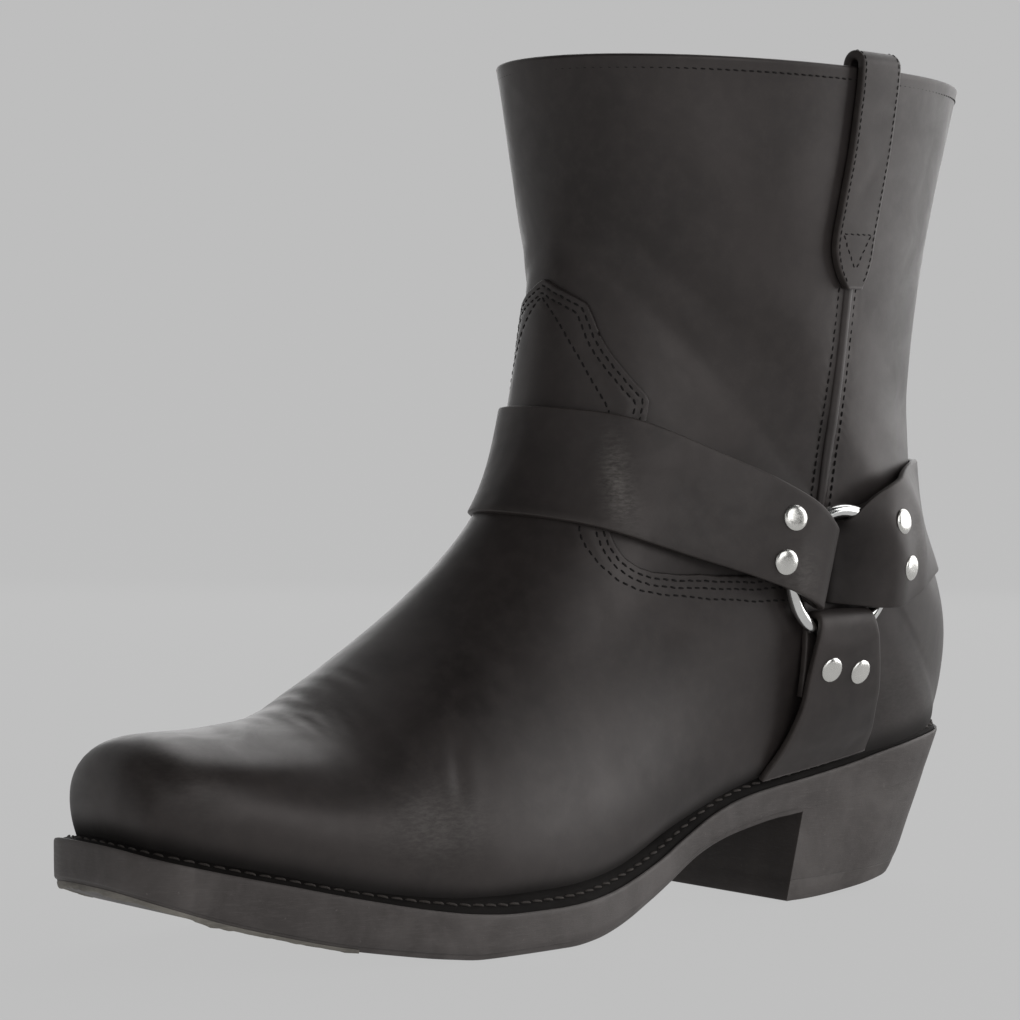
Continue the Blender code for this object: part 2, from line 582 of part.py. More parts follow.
def strap_half(table, kind, side, w, n_run, rest):
    """Mid-line of one strap row: tail, fold round the ring, then out along the
    skin to the ridge (or to the welt)."""
    plane, nrm = ring_plane(side)
    u, z = band_line(table, w, 900)
    if kind != "down":
        h = locate(u, z)[1]
        over = np.flatnonzero((h > 1.0) if kind == "instep" else (h < 0.0))
        u, z = u[:over[0]], z[:over[0]]
    d = np.r_[0, np.cumsum(np.hypot(np.diff(u), np.diff(z)))]
    x = side_x(u, z, side) * side
    ring_x = plane(u, z) * side + WIRE_R + CLEAR + STRAP_T / 2
    r = np.hypot(u - RING_U, z - RING_Z)
    tail_r = TAIL_R[kind]
    lift = STRAP_T / 2 + np.where(r < tail_r + 1, 6.0, rest)
    t = np.gradient(np.c_[d, x], axis=0)
    n = np.c_[-t[:, 1], t[:, 0]] / np.linalg.norm(t, axis=1)[:, None]
    if kind != "down":
        n[-1] = (1.0, 0.0)
    q = np.c_[d, x] + lift[:, None] * n
    dive = kind == "heel"
    ring_x = ring_x + (0.8 if dive else 0.0)
    over = np.abs(r - RING_R) < WIRE_R + 0.6 if dive else r < RING_R + WIRE_R + 0.6
    q[:, 1] = np.where(over, np.maximum(q[:, 1], ring_x), q[:, 1])
    if dive:
        q = q[r > RING_R - WIRE_R - 0.6]
    q = q[q[:, 0] > 0]
    line = even_line(taut(np.vstack([[(0.0, x[0] + DIVE if dive else ring_x[0])], q])), 400, 60)

    def at(p):
        more = np.maximum(p - d[-1], 0)
        return (np.interp(p, d, u) + more * (u[-1] - u[-30]) / (d[-1] - d[-30]),
                np.interp(p, d, z) + more * (z[-1] - z[-30]) / (d[-1] - d[-30]))
    path = even_line(line, n_run)
    pu, pz = at(path[:, 0])
    run = np.stack([side * path[:, 1], pu, pz], 1)
    mid = np.interp(d, line[:, 0], line[:, 1])
    # fold and tail, in the plane of the row's first direction and the ring normal
    go = np.array([0.0, u[8] - u[0], z[8] - z[0]])
    go -= nrm * (go @ nrm)
    go /= np.linalg.norm(go)
    bend = DIVE_R if dive else FOLD_R
    c0 = run[0] - nrm * bend
    ang = np.linspace(0, np.pi, 7)[1:]
    fold = np.array([c0 + nrm * bend * math.cos(t) - go * bend * math.sin(t) for t in ang])
    # the turned-under end keeps below the wire, then rises to the strap
    rr = np.array([RING_R + WIRE_R + 0.4, RING_R + WIRE_R + 1.6, RING_R + WIRE_R + 3.8, tail_r])
    k0 = int(np.argmin(r[:300]))
    pd = np.interp(rr, r[k0:500], d[k0:500])
    tu, tz = np.interp(pd, d, u), np.interp(pd, d, z)
    t = np.array([0.0, 0.2, 0.9, 1.0])
    under = plane(tu, tz) * side - FOLD_R
    near = np.interp(pd, d, mid) - STRAP_T - 0.5
    tx = np.minimum((1 - t) * under + t * near, near)
    tail = np.stack([side * tx, tu, tz], 1)
    return np.vstack([tail[::-1], fold[::-1], run])


def ribbon(name, mid, flip):
    """Strap body of STRAP_T on the mid-surface grid (rows x columns)."""
    n = grid_normals(mid) * (-1 if flip else 1)
    return slab(name, mid - n * STRAP_T / 2, mid + n * STRAP_T / 2, STRAP), n


HEAD_R, HEAD_H, SHANK_R, BURR_R, BURR_T = 3.9, 2.1, 1.2, 1.55, 0.3


def rivet(name, at, axis, length):
    """Domed head, shank and back burr; `at` lies under the head, on the axis."""
    back = -length - BURR_T
    mesh = turned([(0.0, HEAD_H), (0.56 * HEAD_R, 0.76 * HEAD_H), (0.9 * HEAD_R, 0.28 * HEAD_H), (HEAD_R, 0.0),
                   (SHANK_R, 0.0), (SHANK_R, -length), (BURR_R, -length), (BURR_R, back), (0.0, back)], 10)
    return place(name, mesh, STEEL, at, axis.to_track_quat("Z", "Y"))


def drill(ob, at, axis, radius, half):
    """Round hole through a strap, for a rivet shank."""
    me = bpy.data.meshes.new("drill")
    bm = bmesh.new()
    bmesh.ops.create_cone(bm, cap_ends=True, segments=12, radius1=radius * 0.001,
                          radius2=radius * 0.001, depth=2 * half * 0.001)
    bm.to_mesh(me)
    bm.free()
    tool = bpy.data.objects.new("drill", me)
    bpy.context.scene.collection.objects.link(tool)
    tool.rotation_mode = "QUATERNION"
    tool.rotation_quaternion = axis.to_track_quat("Z", "Y")
    tool.location = at
    bpy.context.view_layer.update()
    mod = ob.modifiers.new("hole", "BOOLEAN")
    mod.operation, mod.solver, mod.object = "DIFFERENCE", "EXACT", tool
    dg = bpy.context.evaluated_depsgraph_get()
    new = bpy.data.meshes.new_from_object(ob.evaluated_get(dg))
    ob.modifiers.clear()
    old, ob.data = ob.data, new
    bpy.data.meshes.remove(old)
    bpy.data.objects.remove(tool, do_unlink=True)


def feel(ob, at, axis, radius, count):
    """Points where lines along -axis, round a circle about at, meet the strap."""
    e1 = axis.cross(Vector((0, 0, 1))).normalized()
    e2 = axis.cross(e1)
    found = []
    for k in range(count):
        t = 2 * math.pi * k / count
        p = at + (e1 * math.cos(t) + e2 * math.sin(t)) * radius + axis * 0.006
        ok, q, _n, _i = ob.ray_cast(p, -axis)
        if ok and abs((q - at).dot(axis)) < 0.003:
            found.append(q.copy())
    return found


def rivet_strap(ob, mid, n, kind, side, label):
    """Drill the two holes at a strap end and set the rivets in them."""
    flat, fn = mid.reshape(-1, 3), n.reshape(-1, 3)
    spots = []
    for u, z in RIVETS[kind]:
        d2 = (flat[:, 1] - u) ** 2 + (flat[:, 2] - z) ** 2 + 1e4 * (flat[:, 0] * side < 0)
        near = np.argsort(d2)[:12]
        outer = near[np.argsort(-flat[near, 0] * side)][:4]
        ax = fn[outer].mean(0)
        ax *= math.copysign(1.0, ax[0] * side)
        axis = Vector((ax[0], -ax[1], ax[2])).normalized()
        x = float(flat[outer, 0].mean())
        ok, at, _n, _i = ob.ray_cast(world((x, u, z)) + axis * 0.015, -axis)
        for _ in range(3):                      # stand the rivet square on the strap
            ring = np.array([q[:] for q in feel(ob, at, axis, 0.0036, 12)])
            w = np.linalg.svd(ring - ring.mean(0))[2][2]
            w = Vector(w) * math.copysign(1.0, Vector(w).dot(axis))
            axis = w.normalized()
        hits, p = [], at + axis * 0.004
        for _ in range(4):                      # in and out of both layers
            ok, q, _n, _i = ob.ray_cast(p, -axis)
            hits.append(q.copy())
            p = q - axis * 1e-6
        top = max((q - hits[0]).dot(axis) for q in feel(ob, at, axis, 0.001 * HEAD_R, 16) + [hits[0]])
        low = hits[3]
        burr = [q for q in feel(ob, low, -axis, 0.001 * BURR_R, 12)]
        sag = max([0.0] + [(low - q).dot(axis) for q in burr])
        spots.append((hits[0] + axis * (top + 0.0002), low - axis * (sag + 0.0007), axis))
    for k, (head, back, axis) in enumerate(spots):
        long = (head - back).length
        drill(ob, (head + back) / 2, axis, SHANK_R + GAP, 500 * long + 0.8)
        rivet("rivet_%s_%s_%d" % (kind, label, k + 1), head, axis, 1000 * long)


def build_harness():
    for side, label in ((1, "outer"), (-1, "inner")):
        plane, nrm = ring_plane(side)
        wire = [(RING_R + WIRE_R * math.cos(t), WIRE_R * math.sin(t))
                for t in (2 * math.pi * (k + 0.5) / 8 for k in range(8))]
        place("ring_" + label, turned(wire, 28, RING_R), STEEL,
              world((float(plane(RING_U, RING_Z)), RING_U, RING_Z)),
              Vector((nrm[0], -nrm[1], nrm[2])).to_track_quat("Z", "Y"))
    for kind, table, n_run, rest in (("instep", INSTEP, 15, 1.7), ("heel", HEEL, 18, 1.1)):
        rows = []
        for w in np.linspace(0, 1, 4):
            a = strap_half(table, kind, 1, w, n_run, rest)
            b = strap_half(table, kind, -1, w, n_run, rest)
            rows.append(np.vstack([a, b[::-1][1:]]))
        mid = np.array(rows)
        ob, n = ribbon(kind + "_strap", mid, kind == "heel")
        for side, label in ((1, "outer"), (-1, "inner")):
            rivet_strap(ob, mid, n, kind, side, label)
    for side, label in ((1, "outer"), (-1, "inner")):
        mid = np.array([strap_half(DOWN, "down", side, w, 9, 0.9) for w in np.linspace(0, 1, 4)])
        ob, n = ribbon("sole_strap_" + label, mid, side < 0)
        rivet_strap(ob, mid, n, "down", side, label)


# ------------------------------------------------------------------ pull straps
PULL_T = 2.8
Pull = namedtuple("Pull", "z mid_u half")
PULL = [Pull(*r) for r in [(188.0, 69.0, 5.0), (193.0, 70.0, 7.2), (199.0, 70.2, 8.0), (212.0, 68.5, 8.2),
                           (230.0, 65.6, 8.2), (248.0, 64.2, 8.2)]]
PULL_RISE, PULL_DOWN = 3.0, 26.0


def build_pull(side, label):
    z = np.r_[np.linspace(PULL[0].z, PULL[1].z, 3), np.linspace(PULL[1].z, PULL[-1].z, 7)[1:]]
    mu = pchip([r.z for r in PULL], [r.mid_u for r in PULL])(z)
    hw = pchip([r.z for r in PULL], [r.half for r in PULL])(z)
    rows = []
    for w in np.linspace(-1, 1, 3):
        u = mu + hw * w
        x = side_x(u, z, side) * side
        leg = np.stack([side * (x + 0.6 + PULL_T / 2), u, z], 1)
        # over the collar: up, half a turn, and down inside the wall
        ue = u[-1]
        zt = SHAFT[-1].back_z + (SHAFT[-1].top_z - SHAFT[-1].back_z) * (ue - SHAFT[-1].back_u) / (
            SHAFT[-1].top_u - SHAFT[-1].back_u)
        xe = float(side_x(ue, zt - 0.4, side)) * side
        r = (WALL + PULL_T) / 2 + 0.6
        xc = xe - WALL / 2
        arch = [(xc + r * math.cos(t), ue, zt + PULL_RISE + r * math.sin(t))
                for t in np.linspace(0, math.pi, 8)]
        arch = np.array([(side * a, b, c) for a, b, c in arch])
        zi = np.linspace(zt - 2.0, zt - PULL_DOWN, 4)
        xi = side_x(np.full(4, ue), zi, side) * side - WALL - 0.6 - PULL_T / 2 - 0.15
        inside = np.stack([side * xi, np.full(4, ue), zi], 1)
        rows.append(np.vstack([leg, arch, inside]))
    mid = np.array(rows)
    n = grid_normals(mid)
    slab("pull_strap_" + label, mid - n * PULL_T / 2, mid + n * PULL_T / 2, STRAP)


build_upper()
build_bottom()
build_harness()
for _side, _label in ((1, "outer"), (-1, "inner")):
    build_pull(_side, _label)
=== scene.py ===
"""Harness boot, left foot: leather, sewing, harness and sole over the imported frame.

The form (sections of the upper, sole bed, strap tables) repeats the part's own
sizes in millimetres: u from heel to toe, x to the wearer's left, z up.
"""
import math
from collections import namedtuple

import bpy
import numpy as np
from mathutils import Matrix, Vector


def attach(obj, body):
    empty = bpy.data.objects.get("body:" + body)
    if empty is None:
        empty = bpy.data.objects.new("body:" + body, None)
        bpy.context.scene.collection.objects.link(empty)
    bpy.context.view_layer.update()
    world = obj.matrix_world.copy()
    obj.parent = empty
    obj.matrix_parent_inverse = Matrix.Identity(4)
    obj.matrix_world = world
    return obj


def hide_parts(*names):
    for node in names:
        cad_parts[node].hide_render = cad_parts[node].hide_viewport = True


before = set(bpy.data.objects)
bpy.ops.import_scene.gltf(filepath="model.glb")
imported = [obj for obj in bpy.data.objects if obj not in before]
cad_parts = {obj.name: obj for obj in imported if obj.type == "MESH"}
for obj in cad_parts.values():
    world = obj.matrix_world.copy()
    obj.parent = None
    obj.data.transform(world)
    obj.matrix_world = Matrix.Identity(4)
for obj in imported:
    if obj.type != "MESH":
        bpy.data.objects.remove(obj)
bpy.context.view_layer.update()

# ------------------------------------------------------------------ sizes, mm
GAP = 0.3              # play left between neighbouring pieces
WALL = 2.4             # upper leather with its lining
WELT_T = 3.0           # welt thickness
HEEL_U = -4.0          # back of the featherline
TOE_U = 286.5          # featherline turns across the toe here
TOE_END = 296.0        # front of the featherline

# u runs from the back of the heel (0) to the toe, x to the wearer's left, z up.
Feather = namedtuple("Feather", "u out inn")
FEATHER = [Feather(*r) for r in [
    (HEEL_U, 0.0, 0.0), (-2.0, 11.0, 11.0), (2.0, 19.0, 19.0), (12.0, 27.2, 27.2),
    (32.0, 32.0, 31.5), (60.0, 32.5, 30.5), (90.0, 32.5, 27.5), (120.0, 35.0, 27.5),
    (150.0, 41.5, 33.0), (180.0, 48.0, 41.0), (205.0, 48.8, 46.2), (225.0, 46.0, 46.4),
    (250.0, 38.5, 41.5), (270.0, 30.5, 35.0), (TOE_U, 20.0, 25.5)]]

Bed = namedtuple("Bed", "u sole_under sole_t")
BED = [Bed(*r) for r in [
    (-12.0, 36.6, 8.2), (0.0, 34.6, 8.2), (20.0, 32.4, 8.2), (45.0, 30.2, 8.2),
    (70.0, 27.0, 8.0), (100.0, 20.2, 7.8),
    (130.0, 10.8, 8.0), (158.0, 2.6, 8.5), (180.0, 0.0, 8.8), (212.0, 0.0, 8.8),
    (240.0, 3.0, 8.8), (265.0, 8.6, 8.8), (285.0, 15.0, 8.8), (312.0, 26.0, 8.8)]]

Section = namedtuple("Section", "foot_u top_u top_z w_out w_in belly p q ridge_x")
FOOT = [Section(*r) for r in [
    (TOE_U, TOE_END, 31.6, 20.0, 25.5, 0.00, 2.6, 2.6, -3.0),
    (284.0, 297.3, 42.5, 22.0, 27.6, 0.12, 2.6, 2.4, -3.0),
    (279.0, 296.8, 51.8, 25.0, 30.8, 0.20, 2.6, 2.3, -3.0),
    (272.0, 292.4, 59.0, 28.8, 34.0, 0.25, 2.6, 2.2, -3.0),
    (263.0, 281.2, 62.4, 33.5, 38.7, 0.26, 2.5, 2.1, -3.0),
    (250.0, 265.4, 63.0, 39.7, 43.4, 0.26, 2.4, 2.0, -3.5),
    (232.0, 245.8, 65.8, 45.5, 47.6, 0.25, 2.2, 1.9, -4.0),
    (212.0, 225.0, 71.8, 49.7, 49.2, 0.23, 2.0, 1.80, -5.0),
    (192.0, 203.8, 83.3, 50.2, 47.6, 0.21, 1.9, 1.75, -5.0),
    (170.0, 183.2, 99.6, 48.1, 44.0, 0.20, 1.85, 1.75, -5.0),
    (148.0, 165.8, 117.4, 45.0, 40.3, 0.21, 1.9, 1.8, -4.0),
    (124.0, 154.6, 136.0, 42.4, 38.2, 0.26, 2.0, 1.85, -3.0),
    (98.0, 149.8, 154.2, 41.8, 38.7, 0.33, 2.0, 1.9, -2.0),
    (70.0, 148.3, 168.5, 42.9, 40.3, 0.38, 2.0, 1.9, -1.0),
    (42.0, 147.2, 179.0, 44.0, 42.4, 0.41, 2.0, 1.95, -0.5),
    (17.0, 146.2, 187.5, 45.0, 44.0, 0.43, 2.05, 2.0, 0.0),
    (2.0, 145.7, 193.5, 45.5, 45.0, 0.45, 2.05, 2.0, 0.0),
    (HEEL_U, 145.4, 198.0, 46.0, 45.5, 0.46, 2.05, 2.0, 0.0)]]

Ring = namedtuple("Ring", "back_u back_z top_u top_z w_out w_in belly p q ridge_x")
SHAFT = [Ring(*r) for r in [
    (-7.5, 62.0, 145.2, 202.5, 46.5, 46.0, 0.47, 2.1, 2.1, 0.0),
    (-6.2, 78.0, 145.2, 208.0, 47.2, 47.0, 0.48, 2.1, 2.1, 0.0),
    (3.0, 98.0, 145.4, 213.5, 47.8, 47.8, 0.49, 2.1, 2.1, 0.0),
    (8.3, 121.0, 145.9, 220.0, 48.8, 48.8, 0.50, 2.1, 2.1, 0.0),
    (10.0, 147.0, 146.8, 227.5, 50.0, 50.0, 0.50, 2.1, 2.1, 0.0),
    (7.0, 178.0, 148.2, 236.5, 52.0, 52.0, 0.50, 2.1, 2.1, 0.0),
    (0.0, 213.0, 149.9, 245.5, 54.0, 54.0, 0.50, 2.1, 2.1, 0.0),
    (-10.5, 251.0, 152.0, 255.0, 56.5, 56.5, 0.50, 2.1, 2.1, 0.0)]]
S_HEEL = len(FOOT) - 1          # last section that stands on the featherline
S_TOP = len(FOOT) + len(SHAFT) - 1


def pchip(xs, ys):
    """Cubic through the points of a table that never overshoots them."""
    x, y = np.asarray(xs, float), np.asarray(ys, float)
    h = np.diff(x); d = np.diff(y) / h
    m = np.zeros_like(y)
    for i in range(1, len(x) - 1):
        if d[i - 1] * d[i] > 0:
            w1, w2 = 2 * h[i] + h[i - 1], h[i] + 2 * h[i - 1]
            m[i] = (w1 + w2) / (w1 / d[i - 1] + w2 / d[i])
    m[0], m[-1] = d[0], d[-1]

    def f(v):
        v = np.clip(np.asarray(v, float), x[0], x[-1])
        k = np.clip(np.searchsorted(x, v, "right") - 1, 0, len(h) - 1)
        t = (v - x[k]) / h[k]
        return ((1 + 2 * t) * (1 - t) ** 2 * y[k] + t * (1 - t) ** 2 * h[k] * m[k]
                + t * t * (3 - 2 * t) * y[k + 1] + t * t * (t - 1) * h[k] * m[k + 1])
    return f


def natural(ys):
    """Natural cubic spline through rows 0, 1, 2 … of a table column."""
    y = np.asarray(ys, float); n = len(y)
    a = np.eye(n) * 4.0; b = np.zeros(n)
    a[0] = 0; a[0, 0] = 1; a[-1] = 0; a[-1, -1] = 1
    for i in range(1, n - 1):
        a[i, i - 1] = a[i, i + 1] = 1.0
        b[i] = 6.0 * (y[i - 1] - 2 * y[i] + y[i + 1])
    m = np.linalg.solve(a, b)

    def f(s):
        s = np.clip(np.asarray(s, float), 0, n - 1)
        k = np.clip(s.astype(int), 0, n - 2); t = s - k
        return ((1 - t) * y[k] + t * y[k + 1] + ((1 - t) ** 3 - (1 - t)) * m[k] / 6
                + (t ** 3 - t) * m[k + 1] / 6)
    return f


_half = {1: pchip([r.u for r in FEATHER], [r.out ** 2 for r in FEATHER]),
         -1: pchip([r.u for r in FEATHER], [r.inn ** 2 for r in FEATHER])}


def feather(u, side):
    """Half-width of the featherline at u on one side (+1 outer, -1 inner)."""
    u = np.asarray(u, float)
    w = np.sqrt(np.maximum(_half[side](u), 0.0))
    h = np.clip((u - TOE_U) / (TOE_END - TOE_U), 0, 1)
    f = FOOT[0]
    w_toe = (f.w_out if side > 0 else f.w_in) * np.maximum(1 - h ** f.p, 0) ** (1 / f.q)
    return np.where(u > TOE_U, w_toe + side * f.ridge_x * h * h, w)


_under = pchip([r.u for r in BED], [r.sole_under for r in BED])
_thick = pchip([r.u for r in BED], [r.sole_t for r in BED])


def sole_under(u):
    return _under(u)


def sole_top(u):
    return _under(u) + _thick(u)


def seat(u):
    """Height of the featherline: the top of the welt."""
    return sole_top(u) + GAP + WELT_T


_rows = FOOT + SHAFT
_col = {n: natural([getattr(r, n) for r in _rows])
        for n in ("top_u", "top_z", "w_out", "w_in", "belly", "p", "q", "ridge_x")}
_foot_u = pchip(range(len(FOOT)), [r.foot_u for r in FOOT])
_back_u = natural([FOOT[-1].foot_u] + [r.back_u for r in SHAFT])
_back_z = natural([float(seat(FOOT[-1].foot_u))] + [r.back_z for r in SHAFT])


def section(s, side):
    """Everything about the section at station s on one side."""
    s = np.asarray(s, float)
    low = s <= S_HEEL
    bu = np.where(low, _foot_u(s), _back_u(s - S_HEEL))
    bz = np.where(low, seat(_foot_u(s)), _back_z(s - S_HEEL))
    w0 = np.where(low, feather(np.minimum(_foot_u(s), TOE_U), side), 0.0)
    w1 = _col["w_out"](s) if side > 0 else _col["w_in"](s)
    return bu, bz, w0, _col["top_u"](s), _col["top_z"](s), w1


def width(s, h, side):
    """Half-width of section s at the share h of its height."""
    _, _, w0, _, _, w1 = section(s, side)
    hm = np.maximum(_col["belly"](s), 1e-6)
    k = 1 - (w0 / w1) ** 2
    lowpart = w1 * np.sqrt(np.maximum(1 - k * (np.clip(hm - h, 0, None) / hm) ** 2, 0))
    r = np.clip((h - hm) / (1 - hm), 0, 1)
    high = w1 * np.maximum(1 - r ** _col["p"](s), 0) ** (1 / _col["q"](s))
    return np.where(h < hm, lowpart, high)


def skin_sh(s, h, side):
    """Point on the outside of the upper at station s, height share h."""
    bu, bz, _, tu, tz, _ = section(s, side)
    x = _col["ridge_x"](s) * h * h + side * width(s, h, side)
    return np.stack([x, bu + h * (tu - bu), bz + h * (tz - bz)], -1)


def skin(s, f):
    """Same, by f from -1 (inner foot) over 0 (ridge) to +1 (outer foot)."""
    s, f = np.broadcast_arrays(np.asarray(s, float), np.asarray(f, float))
    h = 0.5 - 0.5 * np.cos(np.pi * (1 - np.abs(f)))
    return np.where((f >= 0)[..., None], skin_sh(s, h, 1), skin_sh(s, h, -1))


def locate(u, z):
    """Station and height share of the section through side-view point (u, z)."""
    u, z = np.broadcast_arrays(np.asarray(u, float), np.asarray(z, float))
    lo = np.zeros(u.shape); hi = np.full(u.shape, float(S_TOP))
    for _ in range(40):
        mid = 0.5 * (lo + hi)
        bu, bz, _, tu, tz, _ = section(mid, 1)
        ahead = (tu - bu) * (z - bz) - (tz - bz) * (u - bu) > 0
        lo = np.where(ahead, mid, lo); hi = np.where(ahead, hi, mid)
    s = 0.5 * (lo + hi)
    bu, bz, _, tu, tz, _ = section(s, 1)
    du, dz = tu - bu, tz - bz
    h = ((u - bu) * du + (z - bz) * dz) / (du * du + dz * dz)
    return s, h


def side_x(u, z, side):
    s, h = locate(u, z)
    h = np.clip(h, 0, 1)
    return _col["ridge_x"](s) * h * h + side * width(s, h, side)


_edge = pchip([-10, 40, 90, 130, 190, 270, 310], [3.6, 3.6, 4.0, 4.6, 6.2, 7.2, 10.2])


def outline(n):
    """n even points round the featherline in plan, their outward normals and
    the distance from there to the edge of the sole."""
    uu = HEEL_U + (TOE_END - HEEL_U) * 0.5 * (1 - np.cos(np.pi * np.linspace(0, 1, 400)))
    left = np.stack([feather(uu, 1), uu], 1)
    right = np.stack([-feather(uu, -1), uu], 1)[::-1][1:-1]

    def even(p, m, ends=1.0):
        q = np.vstack([p, p[:1]])
        c = 0.5 * (q[1:, 1] + q[:-1, 1])
        weight = np.where((c > 262) | (c < 14), ends, 1.0)
        d = np.r_[0, np.cumsum(weight * np.hypot(*np.diff(q, axis=0).T))]
        v = np.linspace(0, d[-1], m, endpoint=False)
        return np.stack([np.interp(v, d, q[:, k]) for k in (0, 1)], 1)
    p = even(np.vstack([left, right]), 720)
    for _ in range(6):
        p = 0.25 * np.roll(p, 1, 0) + 0.5 * p + 0.25 * np.roll(p, -1, 0)
    p = even(p, n, 2.4)
    t = np.roll(p, -1, 0) - np.roll(p, 1, 0)
    nor = np.stack([t[:, 1], -t[:, 0]], 1)
    nor /= np.linalg.norm(nor, axis=1, keepdims=True)
    return p, nor, _edge(p[:, 1])[:, None]


X_MID, U_MID = 0.0, 147.24          # middle of the footprint


LIFT_T = 6.6                       # top lift
BREAST_U = 71.5                    # heel breast where it meets the sole
BASE_BACK, BASE_BREAST = 12.0, 75.0
BASE_NARROW = 0.86


def heel_loop(loop, share):
    """Plan of the heel, from share 0 at the sole to share 1 on the floor."""
    u0 = loop[:, 1].min()
    back = u0 + (BASE_BACK - u0) * share
    breast = BREAST_U + (BASE_BREAST - BREAST_U) * share
    k0 = int(np.argmin(loop[:, 1]))
    a = np.roll(loop, -k0, 0)
    keep = a[a[:, 1] < BREAST_U - 1.5]
    k = int(np.argmax(np.abs(np.diff(keep[:, 0]))))
    run_a, run_b = keep[:k + 1], keep[k + 1:]

    def at(run):
        return np.interp(BREAST_U, *(a[np.sign(a[:, 0]) == np.sign(run[-1, 0])][:, ::-1].T[:, np.argsort(
            a[np.sign(a[:, 0]) == np.sign(run[-1, 0])][:, 1])]))
    corner_a = np.array([[at(run_a[5:]), BREAST_U]])
    corner_b = np.array([[at(run_b[:-5][::-1]), BREAST_U]])
    p = np.vstack([run_a, corner_a, corner_b, run_b])
    x = p[:, 0] * (1 - (1 - BASE_NARROW) * share)
    u = back + (p[:, 1] - u0) * (breast - back) / (BREAST_U - u0)
    return np.stack([x, u], 1)


# --------------------------------------------------------------- harness straps
RING_U, RING_Z = 72.5, 102.0       # middle of each ring in side view
RING_R, WIRE_R = 19.0, 2.0
STRAP_T = 2.0
RING_STANDOFF = 5.5                # ring plane over the skin
CLEAR = 0.5                        # play of the wire in a fold
FOLD_R = WIRE_R + CLEAR + STRAP_T / 2
DIVE_R, DIVE = 1.6, 5.8            # the heel strap sinks into the ring: fold, mid-line over the skin

# edges of each strap in side view, from the fold round the ring outwards
Band = namedtuple("Band", "a_u a_z b_u b_z")
INSTEP = [Band(*r) for r in [
    (84.0, 92.8, 78.5, 117.2), (96.0, 98.4, 89.0, 126.5), (121.0, 107.0, 113.0, 138.5),
    (139.0, 113.4, 129.5, 146.0), (152.0, 118.0, 142.0, 150.5), (168.0, 121.5, 157.0, 153.0)]]
HEEL = [Band(*r) for r in [
    (72.0, 92.6, 70.5, 118.0), (60.0, 91.2, 61.5, 126.5), (48.5, 91.8, 51.0, 131.2), (38.0, 95.4, 41.0, 134.6),
    (27.0, 98.6, 30.5, 136.6), (12.0, 100.8, 20.0, 137.4), (-14.0, 101.0, -8.0, 137.4)]]
DOWN = [Band(*r) for r in [
    (82.8, 86.3, 60.5, 87.0), (84.5, 72.6, 55.0, 71.5), (85.0, 63.4, 52.6, 61.6),
    (86.6, 54.0, 49.8, 52.5), (89.8, 45.0, 48.2, 46.5), (93.0, 35.7, 47.5, 43.2)]]
TAIL_R = {"instep": 36.0, "heel": 34.0, "down": 39.0}
RIVETS = {"instep": [(93.7, 119.3), (97.2, 106.3)], "heel": [(51.2, 117.2), (47.6, 103.0)],
          "down": [(76.8, 73.1), (64.5, 71.7)]}


def ring_plane(side):
    """x of the ring plane over side-view points, and its outward normal."""
    d = 16.0
    x0 = float(side_x(RING_U, RING_Z, side))
    a = float(side_x(RING_U + d, RING_Z, side) - side_x(RING_U - d, RING_Z, side)) / (2 * d)
    b = float(side_x(RING_U, RING_Z + d, side) - side_x(RING_U, RING_Z - d, side)) / (2 * d)
    x0 += side * RING_STANDOFF
    n = np.array([1.0, -a, -b]) * side
    return (lambda u, z: x0 + a * (u - RING_U) + b * (z - RING_Z)), n / np.linalg.norm(n)


def taut(q):
    """Taut line over a run of 2-D points, seen from above."""
    hull = []
    for p in q[np.argsort(q[:, 0], kind="stable")]:
        while len(hull) > 1 and ((hull[-1][0] - hull[-2][0]) * (p[1] - hull[-2][1])
                                 >= (hull[-1][1] - hull[-2][1]) * (p[0] - hull[-2][0])):
            hull.pop()
        hull.append(p)
    return np.array(hull)


def even_line(q, n, rounds=0):
    """n points evenly along a 2-D line, its kinks eased by `rounds` of averaging."""
    d = np.r_[0, np.cumsum(np.hypot(*np.diff(q, axis=0).T))]
    v = np.linspace(0, d[-1], n)
    p = np.stack([np.interp(v, d, q[:, 0]), np.interp(v, d, q[:, 1])], 1)
    for _ in range(rounds):
        p[1:-1] = 0.25 * p[:-2] + 0.5 * p[1:-1] + 0.25 * p[2:]
    return p


def band_line(table, w, m):
    """Side-view line at w (0 edge a, 1 edge b), m points, even by length."""
    cols = [natural([getattr(r, n) for r in table]) for n in Band._fields]
    k = np.linspace(0, len(table) - 1, 40 * len(table))
    au, az, bu, bz = (c(k) for c in cols)
    u, z = au + (bu - au) * w, az + (bz - az) * w
    d = np.r_[0, np.cumsum(np.hypot(np.diff(u), np.diff(z)))]
    v = np.linspace(0, d[-1], m)
    return np.interp(v, d, u), np.interp(v, d, z)


